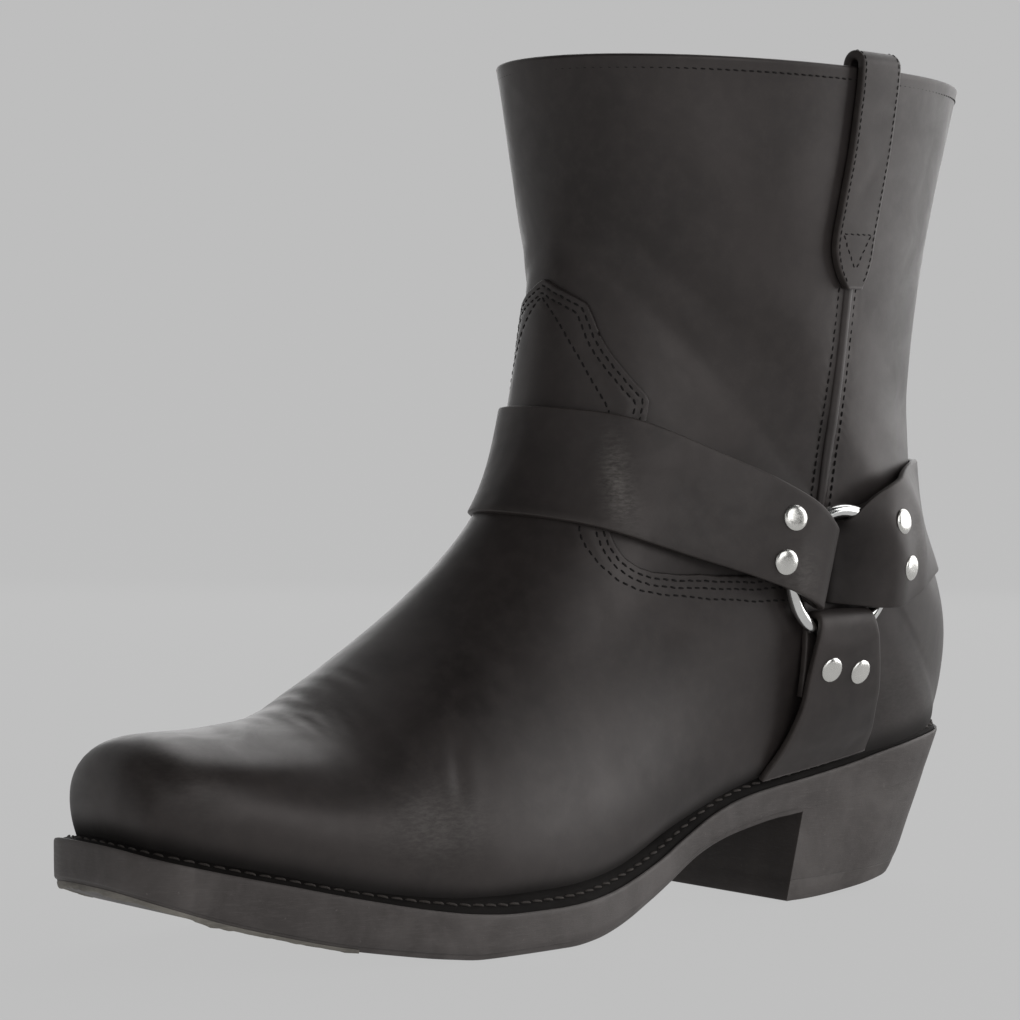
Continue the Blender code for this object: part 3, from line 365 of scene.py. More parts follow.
def strap_half(table, kind, side, w, n_run, rest, n_fold=7, n_tail=4):
    """Mid-line of one strap row: tail, fold round the ring, then out along the
    skin to the ridge (or to the welt)."""
    plane, nrm = ring_plane(side)
    u, z = band_line(table, w, 900)
    if kind != "down":
        h = locate(u, z)[1]
        over = np.flatnonzero((h > 1.0) if kind == "instep" else (h < 0.0))
        u, z = u[:over[0]], z[:over[0]]
    d = np.r_[0, np.cumsum(np.hypot(np.diff(u), np.diff(z)))]
    x = side_x(u, z, side) * side
    ring_x = plane(u, z) * side + WIRE_R + CLEAR + STRAP_T / 2
    r = np.hypot(u - RING_U, z - RING_Z)
    tail_r = TAIL_R[kind]
    lift = STRAP_T / 2 + np.where(r < tail_r + 1, 6.0, rest)
    t = np.gradient(np.c_[d, x], axis=0)
    n = np.c_[-t[:, 1], t[:, 0]] / np.linalg.norm(t, axis=1)[:, None]
    if kind != "down":
        n[-1] = (1.0, 0.0)
    q = np.c_[d, x] + lift[:, None] * n
    dive = kind == "heel"
    ring_x = ring_x + (0.8 if dive else 0.0)
    over = np.abs(r - RING_R) < WIRE_R + 0.6 if dive else r < RING_R + WIRE_R + 0.6
    q[:, 1] = np.where(over, np.maximum(q[:, 1], ring_x), q[:, 1])
    if dive:
        q = q[r > RING_R - WIRE_R - 0.6]
    q = q[q[:, 0] > 0]
    line = even_line(taut(np.vstack([[(0.0, x[0] + DIVE if dive else ring_x[0])], q])), 400, 60)

    def at(p):
        more = np.maximum(p - d[-1], 0)
        return (np.interp(p, d, u) + more * (u[-1] - u[-30]) / (d[-1] - d[-30]),
                np.interp(p, d, z) + more * (z[-1] - z[-30]) / (d[-1] - d[-30]))
    path = even_line(line, n_run)
    pu, pz = at(path[:, 0])
    run = np.stack([side * path[:, 1], pu, pz], 1)
    mid = np.interp(d, line[:, 0], line[:, 1])
    # fold and tail, in the plane of the row's first direction and the ring normal
    go = np.array([0.0, u[8] - u[0], z[8] - z[0]])
    go -= nrm * (go @ nrm)
    go /= np.linalg.norm(go)
    bend = DIVE_R if dive else FOLD_R
    c0 = run[0] - nrm * bend
    ang = np.linspace(0, np.pi, n_fold)[1:]
    fold = np.array([c0 + nrm * bend * math.cos(t) - go * bend * math.sin(t) for t in ang])
    # the turned-under end keeps below the wire, then rises to the strap
    rr = np.array([RING_R + WIRE_R + 0.4, RING_R + WIRE_R + 1.6, RING_R + WIRE_R + 3.8, tail_r])
    k0 = int(np.argmin(r[:300]))
    pd = np.interp(rr, r[k0:500], d[k0:500])
    tu, tz = np.interp(pd, d, u), np.interp(pd, d, z)
    t = np.array([0.0, 0.2, 0.9, 1.0])
    under = plane(tu, tz) * side - FOLD_R
    near = np.interp(pd, d, mid) - STRAP_T - 0.5
    tx = np.minimum((1 - t) * under + t * near, near)
    tail = np.stack([side * tx, tu, tz], 1)
    return np.vstack([tail[::-1], fold[::-1], run])


# ------------------------------------------------------------------ pull straps
PULL_T = 2.8
Pull = namedtuple("Pull", "z mid_u half")
PULL = [Pull(*r) for r in [(188.0, 69.0, 5.0), (193.0, 70.0, 7.2), (199.0, 70.2, 8.0), (212.0, 68.5, 8.2),
                           (230.0, 65.6, 8.2), (248.0, 64.2, 8.2)]]
PULL_RISE, PULL_DOWN = 3.0, 26.0


# ------------------------------------------------------------------ mesh tools
rng = np.random.default_rng(7)


def W(p):
    """x, u, z in millimetres to the frame in metres."""
    p = np.asarray(p, float)
    return np.stack([p[..., 0] - X_MID, U_MID - p[..., 1], p[..., 2]], -1) * 0.001


def unit(v):
    return v / np.maximum(np.linalg.norm(v, axis=-1, keepdims=True), 1e-12)


def make(name, verts, polys, mat, out=None, angle=None, attrs=None, body="boot", smooth=True):
    """Mesh piece from x, u, z points and lists of faces.  A closed body turns its
    faces outwards by its volume, an open sheet by the normals given in out."""
    co = W(verts)
    polys = [np.asarray(p, np.int64) for p in polys if len(p)]
    tri = np.concatenate([p[:, [0, k, k + 1]] for p in polys for k in range(1, p.shape[1] - 1)])
    a, b, c = co[tri[:, 0]], co[tri[:, 1]], co[tri[:, 2]]
    if out is None:
        turn = np.einsum("ij,ij->i", a - co.mean(0), np.cross(b - co.mean(0), c - co.mean(0))).sum()
    else:
        o = np.asarray(out, float) * (1, -1, 1)
        turn = np.einsum("ij,ij->i", o[tri[:, 0]], np.cross(b - a, c - a)).sum()
    if turn < 0:
        polys = [p[:, ::-1] for p in polys]
    loops = np.concatenate([p.ravel() for p in polys])
    used, loops = np.unique(loops, return_inverse=True)
    count = np.concatenate([np.full(len(p), p.shape[1]) for p in polys])
    me = bpy.data.meshes.new(name)
    me.vertices.add(len(used))
    me.vertices.foreach_set("co", co[used].astype(np.float32).ravel())
    me.loops.add(len(loops))
    me.loops.foreach_set("vertex_index", loops.astype(np.int32))
    me.polygons.add(len(count))
    me.polygons.foreach_set("loop_start", np.r_[0, np.cumsum(count)[:-1]].astype(np.int32))
    me.update(calc_edges=True)
    for key, val in (attrs or {}).items():
        at = me.attributes.new(key, "FLOAT", "POINT")
        at.data.foreach_set("value", np.asarray(val, np.float32)[used])
    me.validate()
    if smooth:
        me.shade_smooth()
    if angle:
        me.set_sharp_from_angle(angle=math.radians(angle))
    ob = bpy.data.objects.new(name, me)
    bpy.context.scene.collection.objects.link(ob)
    if mat is not None:
        me.materials.append(mat)
    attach(ob, body)
    return ob


def point_normals(pts, quads):
    """Area-weighted normals at the points of a quad mesh."""
    n = np.zeros_like(pts)
    fn = np.cross(pts[quads[:, 2]] - pts[quads[:, 0]], pts[quads[:, 3]] - pts[quads[:, 1]])
    for k in range(4):
        np.add.at(n, quads[:, k], fn)
    return unit(n)


class Skin:
    """Fine grid on the outside of the upper, closed down the centre back."""

    def __init__(self, step, cols):
        f = np.linspace(-1, 1, cols)
        rows = [0.0]
        for k in range(S_TOP):
            d = np.linalg.norm(skin(k + 1.0, f) - skin(float(k), f), axis=-1).max()
            rows += list(k + np.linspace(0, 1, max(int(math.ceil(d / step)), 2) + 1)[1:])
        self.rows, self.cols = np.array(rows), f
        n, m = len(rows), cols
        self.shape = (n, m)
        self.s = np.repeat(self.rows, m)
        self.f = np.tile(f, n)
        self.P = skin(self.s, self.f)
        vid = np.arange(n * m).reshape(n, m)
        shut = self.rows >= S_HEEL - 1e-9
        vid[shut, -1] = vid[shut, 0]
        self.vid = vid
        q = np.stack([vid[:-1, :-1], vid[:-1, 1:], vid[1:, 1:], vid[1:, :-1]], -1)
        self.quads = q.reshape(-1, 4)
        self.N = point_normals(self.P, self.quads)
        k = vid[n - 3, m // 2]
        if self.N[k, 1] < 0:
            self.N = -self.N
        lost = vid[shut, 0], np.arange(n * m).reshape(n, m)[shut, -1]
        self.N[lost[1]] = self.N[lost[0]]

    def sheet(self, d):
        return self.P + self.N * np.asarray(d)[..., None]


def nearest(P, line, chunk=4000):
    """Distance from each point to a dense line, and the index of its nearest point."""
    d = np.empty(len(P))
    k = np.empty(len(P), int)
    for i in range(0, len(P), chunk):
        p = P[i:i + chunk]
        q = ((p[:, None, :] - line[None]) ** 2).sum(-1)
        k[i:i + chunk] = q.argmin(1)
        d[i:i + chunk] = np.sqrt(q.min(1))
    return d, k


def inside(poly, x, y):
    """Even-odd test of points against a closed outline."""
    r = np.zeros(x.shape, bool)
    x0, y0 = poly[-1]
    for x1, y1 in poly:
        if y0 != y1:
            hit = ((y0 > y) != (y1 > y)) & (x < (x1 - x0) * (y - y0) / (y1 - y0) + x0)
            r ^= hit
        x0, y0 = x1, y1
    return r


def clip(quads, g):
    """The part of a quad mesh where g >= 0: whole quads, cut triangles, the new
    points as (a, b, share) and the new border as directed edges."""
    pos = g[quads] >= 0
    full = pos.all(1)
    new, extra, tris, border = {}, [], [], []
    base = len(g)

    def cut(a, b):
        key = (a, b) if a < b else (b, a)
        if key not in new:
            new[key] = base + len(extra)
            extra.append((key[0], key[1], g[key[0]] / (g[key[0]] - g[key[1]])))
        return new[key]
    for q in quads[pos.any(1) & ~full]:
        poly = []
        for a, b in zip(q, np.roll(q, -1)):
            if a == b:
                continue
            ina, inb = g[a] >= 0, g[b] >= 0
            if ina:
                poly.append(int(a))
            if ina != inb:
                poly.append(cut(int(a), int(b)))
        for k in range(1, len(poly) - 1):
            tris.append((poly[0], poly[k], poly[k + 1]))
        for a, b in zip(poly, poly[1:] + poly[:1]):
            if a >= base and b >= base:
                border.append((a, b))
    return quads[full], np.array(tris).reshape(-1, 3), extra, border


def chains(edges):
    """Directed edges joined end to end."""
    nxt = {a: b for a, b in edges}
    heads = set(nxt) - set(nxt.values())
    out = []
    while nxt:
        a = heads.pop() if heads else next(iter(nxt))
        line = [a]
        while a in nxt:
            a = nxt.pop(a)
            line.append(a)
        out.append(line)
    return [c for c in out if len(c) > 3]


def blend(extra, arr):
    """Values at cut points."""
    if not len(extra):
        return arr[:0]
    a = np.array([e[0] for e in extra])
    b = np.array([e[1] for e in extra])
    t = np.array([e[2] for e in extra])
    t = t.reshape((-1,) + (1,) * (arr.ndim - 1))
    return arr[a] * (1 - t) + arr[b] * t


def panel(name, grid, g, lift, mat, edge=0.45, thick=1.5, attrs=None, also=None):
    """Leather panel over the skin where g >= 0, lifted by `lift`, with a rounded
    cut edge along g = 0 that runs down into the skin."""
    gg = g - edge
    quads, tris, extra, border = clip(grid.quads, gg)
    P = np.vstack([grid.P, blend(extra, grid.P)])
    N = unit(np.vstack([grid.N, blend(extra, grid.N)]))
    L = np.r_[lift, blend(extra, lift)]
    at = {k: np.r_[v, blend(extra, v)] for k, v in (attrs or {}).items()}
    top = P + N * L[:, None]
    sample = quads[len(quads) // 2]
    wind = np.dot(np.cross(top[sample[2]] - top[sample[0]], top[sample[3]] - top[sample[1]]), N[sample[0]])
    verts, polys = [top], [quads, tris]
    norm = [N]
    base = len(top)
    steps = [(0.20, 0.06), (0.36, 0.22), (edge, 0.55), (edge + 0.04, thick)]
    for c in chains(border):
        c = np.array(c)
        loop = c[0] == c[-1]
        ids = c[:-1] if loop else c
        p, n, l = P[ids], N[ids], L[ids]
        if loop:
            t = np.roll(p, -1, 0) - np.roll(p, 1, 0)
        else:
            t = np.gradient(p, axis=0)
        out = unit(np.cross(t, n)) * (1 if wind > 0 else -1)
        prev = ids
        for o, drop in steps:
            row = p + out * o + n * (l - drop)[:, None]
            new = base + np.arange(len(ids))
            base += len(ids)
            verts.append(row)
            norm.append(unit(n + out * min(1.0, 3 * drop)))
            for k in at:
                at[k] = np.r_[at[k], at[k][ids]]
            m = len(ids) if loop else len(ids) - 1
            i, j = np.arange(m), (np.arange(m) + 1) % len(ids)
            polys.append(np.stack([prev[i], new[i], new[j], prev[j]], -1))
            prev = new
    verts, norm = np.vstack(verts), np.vstack(norm)
    return make(name, verts, polys, mat, out=norm, attrs=at)


def level(grid, g, value, lift):
    """Lines on the panel along g = value: lists of (points, normals)."""
    _q, _t, extra, border = clip(grid.quads, g - value)
    P, N, L = blend(extra, grid.P), unit(blend(extra, grid.N)), blend(extra, lift)
    base = len(grid.P)
    out = []
    for c in chains(border):
        i = np.array(c) - base
        out.append((P[i] + N[i] * L[i][:, None], N[i]))
    return out


def resample(p, n, pitch):
    """Points and directions every `pitch` along a line."""
    d = np.r_[0, np.cumsum(np.linalg.norm(np.diff(p, axis=0), axis=1))]
    m = max(int(d[-1] / pitch), 1)
    v = (np.arange(m) + 0.5) * d[-1] / m
    q = np.stack([np.interp(v, d, p[:, k]) for k in range(3)], 1)
    nn = unit(np.stack([np.interp(v, d, n[:, k]) for k in range(3)], 1))
    e = 0.35 * pitch
    a = np.stack([np.interp(v - e, d, p[:, k]) for k in range(3)], 1)
    b = np.stack([np.interp(v + e, d, p[:, k]) for k in range(3)], 1)
    return q, nn, unit(b - a)


def stitches(name, lines, mat, pitch=2.7, long=2.0, r=0.3, rise=0.1, slant=0.12, keep=None):
    """Rows of sewn stitches, each a short thread whose ends dive into the leather."""
    C, N, T = [], [], []
    for p, n in lines:
        if len(p) < 2:
            continue
        q, nn, t = resample(np.asarray(p), np.asarray(n), pitch)
        if keep is not None:
            ok = keep(q)
            q, nn, t = q[ok], nn[ok], t[ok]
        C.append(q); N.append(nn); T.append(t)
    C, N, T = np.vstack(C), np.vstack(N), np.vstack(T)
    T = unit(T - N * (T * N).sum(1, keepdims=True))
    B = np.cross(N, T)
    a = slant + 0.05 * rng.standard_normal(len(C))
    T, B = (T * np.cos(a)[:, None] + B * np.sin(a)[:, None],
            B * np.cos(a)[:, None] - T * np.sin(a)[:, None])
    xi = np.array([-1.0, -0.82, -0.45, 0.0, 0.45, 0.82, 1.0])
    zc = rise - (rise + 0.55 * r + 0.12) * np.abs(xi) ** 5
    rad = r * np.array([0.5, 0.85, 1.0, 1.03, 1.0, 0.85, 0.5])
    around = 7
    th = 2 * np.pi * np.arange(around) / around
    X = np.repeat(xi * long / 2, around)
    Y = (rad[:, None] * np.cos(th)[None]).ravel()
    Z = (zc[:, None] + 0.8 * rad[:, None] * np.sin(th)[None]).ravel()
    V = (C[:, None, :] + T[:, None, :] * X[None, :, None] + B[:, None, :] * Y[None, :, None]
         + N[:, None, :] * Z[None, :, None])
    k = np.arange(len(xi) - 1)[:, None] * around + np.arange(around)[None]
    k2 = np.arange(len(xi) - 1)[:, None] * around + (np.arange(around)[None] + 1) % around
    quad = np.stack([k, k2, k2 + around, k + around], -1).reshape(-1, 4)
    ends = np.array([np.arange(around)[::-1], (len(xi) - 1) * around + np.arange(around)])
    step = (np.arange(len(C)) * len(X))[:, None, None]
    return make(name, V.reshape(-1, 3), [(quad[None] + step).reshape(-1, 4),
                                         (ends[None] + step).reshape(-1, around)], mat)


def cord_along(p, n, half, high, around=9, sunk=0.4):
    """Half-round cord lying on a surface along a line."""
    t = unit(np.gradient(p, axis=0))
    b = unit(np.cross(n, t))
    th = np.linspace(0, np.pi, around)
    prof = [(half, -sunk)] + [(half * math.cos(a), high * math.sin(a)) for a in th] + [(-half, -sunk)]
    V = np.stack([p + b * y + n * z for y, z in prof], 1)
    m, k = V.shape[:2]
    i = np.arange(m - 1)[:, None] * k + np.arange(k)[None]
    j = np.arange(m - 1)[:, None] * k + (np.arange(k)[None] + 1) % k
    quads = np.stack([i, j, j + k, i + k], -1).reshape(-1, 4)
    caps = np.array([np.arange(k)[::-1], (m - 1) * k + np.arange(k)])
    return V.reshape(-1, 3), [quads, caps]


def grid_quads(n, m, wrap=False):
    i = np.arange(n - 1)[:, None]
    j = np.arange(m if wrap else m - 1)[None]
    j2 = (j + 1) % m
    return np.stack([i * m + j, i * m + j2, (i + 1) * m + j2, (i + 1) * m + j], -1).reshape(-1, 4)


def surface_normals(G):
    a = np.gradient(G, axis=0)
    b = np.gradient(G, axis=1)
    return unit(np.cross(a, b))


def band(name, mid, n, thick, mat, bevel=0.5, body="boot", soft=0.55, scuffs=(), painted_shades=()):
    """Strap on a mid-surface grid (across x along) with rounded long edges."""
    k, m = mid.shape[:2]
    across = unit(np.gradient(mid, axis=0))
    width = np.linalg.norm(np.diff(mid, axis=0), axis=-1).sum(0)
    h = thick / 2
    rows, edge = [], []

    def add(i, lat, hi, e):
        rows.append(mid[i] + across[i] * lat + n[i] * hi)
        edge.append(np.full(m, e))
    order = [(i, 0.0, h, 0.0) for i in range(1, k - 1)]
    right = [(k - 1, -bevel, h, 0.4), (k - 1, -0.32 * bevel, h - 0.16 * bevel, 0.8), (k - 1, 0.0, h - soft, 1.0),
             (k - 1, 0.0, -h + soft, 1.0), (k - 1, -0.32 * bevel, -h + 0.16 * bevel, 0.8), (k - 1, -bevel, -h, 0.4)]
    back = [(i, 0.0, -h, 0.0) for i in range(k - 2, 0, -1)]
    left = [(0, bevel, -h, 0.4), (0, 0.32 * bevel, -h + 0.16 * bevel, 0.8), (0, 0.0, -h + soft, 1.0),
            (0, 0.0, h - soft, 1.0), (0, 0.32 * bevel, h - 0.16 * bevel, 0.8), (0, bevel, h, 0.4)]
    for r in order + right + back + left:
        add(*r)
    V = np.array(rows)
    K = len(V)
    quads = grid_quads(K, m)
    last = np.stack([np.arange(m - 1) + (K - 1) * m, np.arange(m - 1) + (K - 1) * m + 1,
                     np.arange(m - 1) + 1, np.arange(m - 1)], -1)
    def cap(col):
        top = list(range(len(order)))
        low = [len(order) + 6 + (k - 2) - 1 - i for i in range(len(order))]
        q = [(top[i] * m + col, top[i + 1] * m + col, low[i + 1] * m + col, low[i] * m + col)
             for i in range(len(order) - 1)]
        r = [len(order) + i for i in range(6)]
        l = [len(order) + 6 + (k - 2) + i for i in range(6)]
        return q, [[top[-1] * m + col] + [i * m + col for i in r] + [low[-1] * m + col],
                   [low[0] * m + col] + [i * m + col for i in l] + [top[0] * m + col]]
    q0, p0 = cap(0)
    q1, p1 = cap(m - 1)
    # rub: paler scuff spots; dark: spots of painted shade, both passed to the material
    rub, dark = np.zeros(K * m), np.zeros(K * m)
    for spots, out in ((scuffs, rub), (painted_shades, dark)):
        for at, size, much in spots:
            out += much * np.exp(-(((V.reshape(-1, 3) - np.array(at)) / np.array(size)) ** 2).sum(1))
    return make(name, V.reshape(-1, 3), [quads, last, np.array(q0)[:, ::-1], np.array(p0)[:, ::-1],
                                         np.array(q1), np.array(p1)], mat,
                attrs={"edge": np.array(edge).ravel(), "scuff_and_sheen": rub, "painted_shade": np.clip(dark, 0, 1)}, body=body)


def turn_mesh(name, profile, steps, at, axis, mat, closed=False, body="boot"):
    """Piece turned about an axis from a (radius, height) profile, millimetres."""
    axis = unit(np.asarray(axis, float))
    e1 = unit(np.cross(axis, (0.3, 0.5, 0.8)))
    e2 = np.cross(axis, e1)
    th = 2 * np.pi * np.arange(steps) / steps
    pr = np.array(profile, float)
    V = (np.asarray(at)[None, None] + pr[:, 1][:, None, None] * axis
         + pr[:, 0][:, None, None] * (np.cos(th)[None, :, None] * e1 + np.sin(th)[None, :, None] * e2))
    k = len(pr)
    quads = [grid_quads(k, steps, wrap=True)]
    if closed:
        i = (k - 1) * steps + np.arange(steps)
        i2 = (k - 1) * steps + (np.arange(steps) + 1) % steps
        quads.append(np.stack([i, i2, (np.arange(steps) + 1) % steps, np.arange(steps)], -1))
        polys = quads
    else:
        polys = quads + [np.arange(steps)[::-1][None], ((k - 1) * steps + np.arange(steps))[None]]
    return make(name, V.reshape(-1, 3), polys, mat, angle=50, body=body)


# ------------------------------------------------------------------- materials
def nodes_of(m):
    return m.node_tree.nodes, m.node_tree.links


def new_material(name, colour, rough, metal=0.0, spec=0.5):
    m = bpy.data.materials.new(name)
    m.use_nodes = True
    b = m.node_tree.nodes["Principled BSDF"]
    b.inputs["Base Color"].default_value = (*colour, 1)
    b.inputs["Roughness"].default_value = rough
    b.inputs["Metallic"].default_value = metal
    b.inputs["Specular IOR Level"].default_value = spec
    b.inputs["Specular Tint"].default_value = (1.0, 0.94, 0.92, 1) if metal == 0 else (1, 1, 1, 1)
    return m, b


def ramp(nt, a, b, fac=None, colour=True):
    r = nt.nodes.new("ShaderNodeValToRGB")
    r.color_ramp.elements[0].position, r.color_ramp.elements[1].position = a[0], b[0]
    for e, v in zip(r.color_ramp.elements, (a[1], b[1])):
        e.color = (*v, 1) if isinstance(v, tuple) else (v, v, v, 1)
    if fac is not None:
        nt.links.new(fac, r.inputs["Fac"])
    return r


def noise(nt, vec, scale, detail=4.0, rough=0.55, distort=0.0):
    n = nt.nodes.new("ShaderNodeTexNoise")
    n.inputs["Scale"].default_value = scale
    n.inputs["Detail"].default_value = detail
    n.inputs["Roughness"].default_value = rough
    n.inputs["Distortion"].default_value = distort
    nt.links.new(vec, n.inputs["Vector"])
    return n


def maths(nt, op, a, b=None):
    n = nt.nodes.new("ShaderNodeMath")
    n.operation = op
    for i, v in enumerate((a, b)):
        if v is None:
            continue
        if isinstance(v, (int, float)):
            n.inputs[i].default_value = v
        else:
            nt.links.new(v, n.inputs[i])
    return n.outputs[0]


def mix_colour(nt, fac, a, b, kind="MIX"):
    n = nt.nodes.new("ShaderNodeMix")
    n.data_type = "RGBA"
    n.blend_type = kind
    for key, v in ((0, fac), (6, a), (7, b)):
        if isinstance(v, (int, float)):
            n.inputs[key].default_value = v
        elif isinstance(v, tuple):
            n.inputs[key].default_value = (*v, 1)
        else:
            nt.links.new(v, n.inputs[key])
    return n.outputs[2]


def leather(name, colour, pale, rough=(0.36, 0.5), grain=1.0, spec=0.45, wear=0.0, scuff_and_sheen=0.0, painted_shade=0.0, stretch=(1, 1, 1)):
    """Oiled leather: cloudy tone, fine pebbled grain with pores, uneven gloss and
    paler worn edges and scuffs (from the piece's own edge and scuff values, the scuffs partly a painted sheen), and
    painted shade from its shade values."""
    m, b = new_material(name, colour, rough[0], 0.0, spec)
    nt = m.node_tree
    tc = nt.nodes.new("ShaderNodeTexCoord").outputs["Object"]
    mp = nt.nodes.new("ShaderNodeMapping")
    mp.inputs["Scale"].default_value = stretch
    nt.links.new(tc, mp.inputs["Vector"])
    vec = mp.outputs["Vector"]
    cloud = noise(nt, vec, 22.0, 5.0, 0.6, 0.6).outputs["Fac"]
    fleck = noise(nt, vec, 210.0, 4.0, 0.65).outputs["Fac"]
    tone = ramp(nt, (0.36, tuple(0.72 * c for c in colour)), (0.68, pale), cloud).outputs["Color"]
    tone = mix_colour(nt, ramp(nt, (0.44, 0.0), (0.75, 0.35), fleck).outputs["Color"], tone,
                      tuple(1.5 * c for c in pale))
    if wear:
        e = nt.nodes.new("ShaderNodeAttribute")
        e.attribute_name = "edge"
        rub = noise(nt, vec, 320.0, 4.0, 0.7).outputs["Fac"]
        f = maths(nt, "MULTIPLY", e.outputs["Fac"], ramp(nt, (0.3, 0.25), (0.7, 1.0), rub).outputs["Color"])
        tone = mix_colour(nt, maths(nt, "MULTIPLY", f, wear), tone, (0.11, 0.095, 0.085))
    # paler scuffs from the piece's scuff values, on the vamp partly a painted sheen
    if scuff_and_sheen:
        e = nt.nodes.new("ShaderNodeAttribute")
        e.attribute_name = "scuff_and_sheen"
        mp2 = nt.nodes.new("ShaderNodeMapping")
        mp2.inputs["Scale"].default_value = (1.0, 1.0, 3.2)
        nt.links.new(tc, mp2.inputs["Vector"])
        rub = noise(nt, mp2.outputs["Vector"], 380.0, 6.0, 0.7, 0.2).outputs["Fac"]
        f = maths(nt, "MULTIPLY", e.outputs["Fac"], ramp(nt, (0.38, 0.1), (0.7, 1.0), rub).outputs["Color"])
        f = maths(nt, "MULTIPLY", f, scuff_and_sheen)
        tone = mix_colour(nt, f, tone, (0.15, 0.14, 0.13))
    gloss = noise(nt, vec, 60.0, 6.0, 0.65, 0.8).outputs["Fac"]
    gloss = ramp(nt, (0.3, rough[0]), (0.72, rough[1]), gloss).outputs["Color"]
    # painted shade: darkens the colour to near-black and roughens the gloss where the piece's shade values are set
    if painted_shade:
        e = nt.nodes.new("ShaderNodeAttribute")
        e.attribute_name = "painted_shade"
        f = maths(nt, "MULTIPLY", e.outputs["Fac"], painted_shade)
        tone = mix_colour(nt, f, tone, (0.0025, 0.0021, 0.0020))
        gloss = maths(nt, "ADD", gloss, maths(nt, "MULTIPLY", f, 0.45))
    nt.links.new(tone, b.inputs["Base Color"])
    nt.links.new(gloss, b.inputs["Roughness"])
    cells = nt.nodes.new("ShaderNodeTexVoronoi")
    cells.feature = "DISTANCE_TO_EDGE"
    cells.inputs["Scale"].default_value = 1050.0
    warp = noise(nt, vec, 420.0, 3.0, 0.6)
    wv = nt.nodes.new("ShaderNodeVectorMath")
    wv.operation = "MULTIPLY_ADD"
    wv.inputs[1].default_value = (0.0012, 0.0012, 0.0012)
    nt.links.new(warp.outputs["Color"], wv.inputs[0])
    nt.links.new(vec, wv.inputs[2])
    nt.links.new(wv.outputs[0], cells.inputs["Vector"])
    crack = ramp(nt, (0.0, 0.0), (0.22, 1.0), cells.outputs["Distance"]).outputs["Color"]
    fine = noise(nt, vec, 1900.0, 4.0, 0.7).outputs["Fac"]
    broad = noise(nt, vec, 130.0, 5.0, 0.6, 0.5).outputs["Fac"]
    h = maths(nt, "ADD", maths(nt, "MULTIPLY", crack, 0.42), maths(nt, "MULTIPLY", fine, 0.5))
    h = maths(nt, "ADD", h, maths(nt, "MULTIPLY", broad, 2.2))
    bump = nt.nodes.new("ShaderNodeBump")
    bump.inputs["Strength"].default_value = 0.06 * grain
    bump.inputs["Distance"].default_value = 0.00012
    nt.links.new(h, bump.inputs["Height"])
    nt.links.new(bump.outputs["Normal"], b.inputs["Normal"])
    return m


def rubber(name, colour, pale, rough=(0.5, 0.7), streak=(1, 1, 6), depth=0.00016, spec=0.4):
    """Sole edge: ground and painted, fine streaks along the edge and small knocks."""
    m, b = new_material(name, colour, rough[0], 0.0, spec)
    nt = m.node_tree
    tc = nt.nodes.new("ShaderNodeTexCoord").outputs["Object"]
    mp = nt.nodes.new("ShaderNodeMapping")
    mp.inputs["Scale"].default_value = streak
    nt.links.new(tc, mp.inputs["Vector"])
    vec = mp.outputs["Vector"]
    cloud = noise(nt, tc, 38.0, 5.0, 0.65, 0.4).outputs["Fac"]
    line = noise(nt, vec, 190.0, 6.0, 0.7).outputs["Fac"]
    knock = noise(nt, tc, 420.0, 5.0, 0.7).outputs["Fac"]
    tone = ramp(nt, (0.34, tuple(0.7 * c for c in colour)), (0.7, pale), cloud).outputs["Color"]
    tone = mix_colour(nt, ramp(nt, (0.5, 0.0), (0.8, 0.5), line).outputs["Color"], tone, tuple(1.4 * c for c in pale))
    tone = mix_colour(nt, ramp(nt, (0.64, 0.0), (0.78, 0.6), knock).outputs["Color"], tone, tuple(2.2 * c for c in pale))
    nt.links.new(tone, b.inputs["Base Color"])
    nt.links.new(ramp(nt, (0.3, rough[0]), (0.7, rough[1]), line).outputs["Color"], b.inputs["Roughness"])
    h = maths(nt, "ADD", maths(nt, "MULTIPLY", line, 0.8), maths(nt, "MULTIPLY", knock, 0.6))
    bump = nt.nodes.new("ShaderNodeBump")
    bump.inputs["Strength"].default_value = 0.6
    bump.inputs["Distance"].default_value = depth
    nt.links.new(h, bump.inputs["Height"])
    nt.links.new(bump.outputs["Normal"], b.inputs["Normal"])
    return m


def metal(name, colour, rough):
    """Plated metal with faint handling marks."""
    m, b = new_material(name, colour, rough[0], 1.0)
    nt = m.node_tree
    tc = nt.nodes.new("ShaderNodeTexCoord").outputs["Object"]
    n = noise(nt, tc, 520.0, 5.0, 0.7).outputs["Fac"]
    nt.links.new(ramp(nt, (0.35, rough[0]), (0.75, rough[1]), n).outputs["Color"], b.inputs["Roughness"])
    tone = ramp(nt, (0.3, tuple(0.86 * c for c in colour)), (0.7, colour), noise(nt, tc, 160.0).outputs["Fac"])
    nt.links.new(tone.outputs["Color"], b.inputs["Base Color"])
    bump = nt.nodes.new("ShaderNodeBump")
    bump.inputs["Strength"].default_value = 0.12
    bump.inputs["Distance"].default_value = 0.0001
    nt.links.new(noise(nt, tc, 900.0, 3.0).outputs["Fac"], bump.inputs["Height"])
    nt.links.new(bump.outputs["Normal"], b.inputs["Normal"])
    return m


def thread(name, colour):
    m, b = new_material(name, colour, 0.75, 0.0, 0.25)
    nt = m.node_tree
    tc = nt.nodes.new("ShaderNodeTexCoord").outputs["Object"]
    w = noise(nt, tc, 2600.0, 2.0)
    tone = ramp(nt, (0.3, tuple(0.6 * c for c in colour)), (0.7, tuple(1.5 * c for c in colour)), w.outputs["Fac"])
    nt.links.new(tone.outputs["Color"], b.inputs["Base Color"])
    bump = nt.nodes.new("ShaderNodeBump")
    bump.inputs["Strength"].default_value = 0.5
    bump.inputs["Distance"].default_value = 0.0001
    nt.links.new(w.outputs["Fac"], bump.inputs["Height"])
    nt.links.new(bump.outputs["Normal"], b.inputs["Normal"])
    return m


